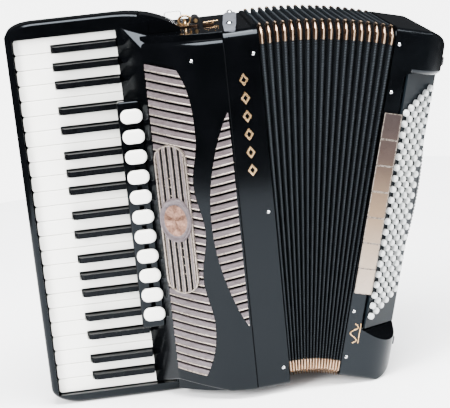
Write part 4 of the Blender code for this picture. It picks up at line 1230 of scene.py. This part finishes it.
def make_strap():
    """The padded hand strap, with its stitching and end clamps."""
    rings = []
    for i in range(STRAP_ROWS + 1):
        z = STRAP_LOW + (STRAP_HIGH - STRAP_LOW) * i / STRAP_ROWS
        over, under = [], []
        for s in [-1 + 2 * k / STRAP_COLUMNS for k in range(STRAP_COLUMNS + 1)]:
            crown = (1 - abs(s) ** 3.5) ** 0.6
            pad = 0.0022 * crown * min(1, 6 * min(i, STRAP_ROWS - i) / STRAP_ROWS)
            foot, y = STRAP_FACE + strap_bow(z), STRAP_MIDDLE + s * STRAP_HALF
            over.append((foot + STRAP_THICK * (0.45 + 0.55 * crown) + pad, y, z))
            under.append((foot + 0.0002, y, z))
        rings.append(over + under[::-1])
    net = Net()
    net.loft(rings, caps=(False, False))
    count = len(rings[0])
    for a in (0, STRAP_ROWS * count):
        for k in range(STRAP_COLUMNS):
            net.face((a + k, a + k + 1, a + count - 2 - k, a + count - 1 - k))
    strap = settle(net.make("hand strap", BASS, HIDE), 50)
    keep(strap, "bass", "strap_leather", "bass_strap")
    top = STRAP_FACE + STRAP_THICK
    stitches = []
    for s in (-0.84, 0.84):
        for z in [STRAP_LOW + 0.010 + 0.0048 * i for i in range(71)]:
            ends = [(top + strap_bow(h) - STRAP_THICK * 0.05 + 0.0012, STRAP_MIDDLE + s * STRAP_HALF, h)
                    for h in (z, z + 0.003)]
            stitches.append(tube("stitch", ends, 0.0004, BASS, GREY_HIDE, 5))
    keep(joined("strap stitching", stitches), "bass", "strap_leather")
    for name, z in (("lower", STRAP_LOW + 0.012), ("upper", STRAP_HIGH - 0.012)):
        outline = rounded((STRAP_FRONT - 0.004, z - 0.006), (STRAP_BACK + 0.001, z + 0.006), 0.003, 4)
        clamp = bevel(prism("clamp", outline, top + 0.0022, top + 0.0036, "X", BASS, CHROME), 0.0005, 2)
        keep(clamp, "bass", "steel", name=f"{name}_strap_clamp")


def make_air_button():
    back = BASS.inverted()
    points = np.array([back @ v.co for v in frame["nodes"]["air_button"].data.vertices])
    middle = (points.min(0) + points.max(0)) / 2
    place = (BASS @ Matrix.Translation((BASS_RIGHT, middle[1], middle[2]))
             @ Matrix.Rotation(math.pi / 2, 4, "Y"))
    profile = [(0.0, 0.0088), (0.0030, 0.0086), (0.0052, 0.0078), (0.0065, 0.0062), (0.0065, 0.0045),
               (0.0030, 0.0045), (0.0030, -0.0015), (0.0, -0.0015)]
    keep(turned("air button cap", profile, place, PEARL, 28), "air_button", "pearl", "air_button")
    profile = [(0.0036, 0.0), (0.0036, 0.0008), (0.0080, 0.0008), (0.0088, 0.0)]
    keep(turned("air button collar", profile, place, CHROME, 28), "bass", "steel")


# ------------------------------------------------------------------ hidden CAD pieces


def paint_cad():
    """CAD nodes that stay as they are get a fine material."""
    looks = {"key_axle": CHROME, "treble_reed_blocks": SPRUCE, "bass_reed_blocks": SPRUCE}
    for node, material in looks.items():
        mesh = frame["nodes"][node].data
        mesh.materials.clear()
        mesh.materials.append(material)


# ------------------------------------------------------------------ studio

# name, place, aim, size, power, and whether shiny surfaces mirror it
LIGHTS = (("overhead softbox", (0.08, -0.55, 2.1), (0, 0, 0.25), (1.45, 0.9), 160, True),
          ("rim strip", (1.65, -0.30, 2.2), (1.65, 0, 0.25), (2.6, 0.16), 36, True),
          ("left softbox", (-1.9, -1.5, 1.2), (0, 0, 0.25), (0.9, 1.4), 215, False),
          ("right softbox", (1.8, -0.7, 1.0), (0.1, 0, 0.25), (0.6, 1.3), 50, True),
          ("back softbox", (0.2, 1.9, 1.5), (0, 0, 0.25), (1.4, 0.8), 60, False))
CAMERA_POINT = (-0.1761, -1.7855, 0.6878)  # in instrument coordinates
CAMERA_YAW, CAMERA_PITCH, CAMERA_ROLL = -0.0644, 0.2451, 0.1034
CAMERA_LENS = 118.0


def add_object(name, data):
    made = bpy.data.objects.new(name, data)
    bpy.context.scene.collection.objects.link(made)
    return made


def make_light(name, place, aim, size, power, mirrored):
    lamp = bpy.data.lights.new(name, "AREA")
    lamp.shape = "RECTANGLE"
    lamp.size, lamp.size_y = size
    lamp.energy = power
    made = add_object(name, lamp)
    made.location = place
    made.rotation_euler = (Vector(aim) - Vector(place)).to_track_quat("-Z", "Y").to_euler()
    made.visible_glossy = mirrored


def make_world():
    """A grey surround for diffuse light, a dark one for mirrored rays and white for the camera."""
    world = bpy.data.worlds.new("studio")
    bpy.context.scene.world = world
    world.use_nodes = True
    nodes, links = world.node_tree.nodes, world.node_tree.links

    def background(node, colour, strength):
        node.inputs["Color"].default_value = (*colour, 1)
        node.inputs["Strength"].default_value = strength
        return node

    shade = background(nodes["Background"], (0.55, 0.56, 0.58), 3.8)
    glossy = background(nodes.new("ShaderNodeBackground"), (0.05, 0.052, 0.056), 1.0)
    seen = background(nodes.new("ShaderNodeBackground"), (1, 1, 1), 6.0)
    path = nodes.new("ShaderNodeLightPath")
    result = shade
    for ray, other in (("Is Glossy Ray", glossy), ("Is Camera Ray", seen)):
        mix = nodes.new("ShaderNodeMixShader")
        for number, output in enumerate((path.outputs[ray], result.outputs[0], other.outputs[0])):
            links.new(output, mix.inputs[number])
        result = mix
    links.new(result.outputs[0], nodes["World Output"].inputs["Surface"])


def make_studio():
    turned("floor", [(0.0, 0.0), (1.25, 0.0)], Matrix.Translation((0, 0, -0.0005)), PAPER, 96)
    for light in LIGHTS:
        make_light(*light)
    make_world()


def make_camera():
    data = bpy.data.cameras.new("camera")
    data.lens = CAMERA_LENS
    data.sensor_width = 36.0
    data.clip_start, data.clip_end = 0.05, 50
    made = add_object("camera", data)
    turn = (Matrix.Rotation(CAMERA_YAW, 4, "Z") @ Matrix.Rotation(-CAMERA_PITCH, 4, "X")
            @ Matrix.Rotation(CAMERA_ROLL, 4, "Y") @ Matrix.Rotation(math.pi / 2, 4, "X"))
    made.matrix_world = Matrix.Translation(TREBLE @ Vector(CAMERA_POINT)) @ turn
    bpy.context.scene.camera = made


for make in (make_treble_case, make_grille, make_fairing, make_louvres, make_badge, make_gilt_column,
             make_frame, make_keys, make_register_board, make_pins, make_top_hardware, make_treble_back,
             make_bellows_skin, make_bellows_corners, make_bass_case, make_button_board, make_buttons,
             make_bass_plates, make_bass_scroll, make_strap, make_air_button, paint_cad, make_studio,
             make_camera):
    make()
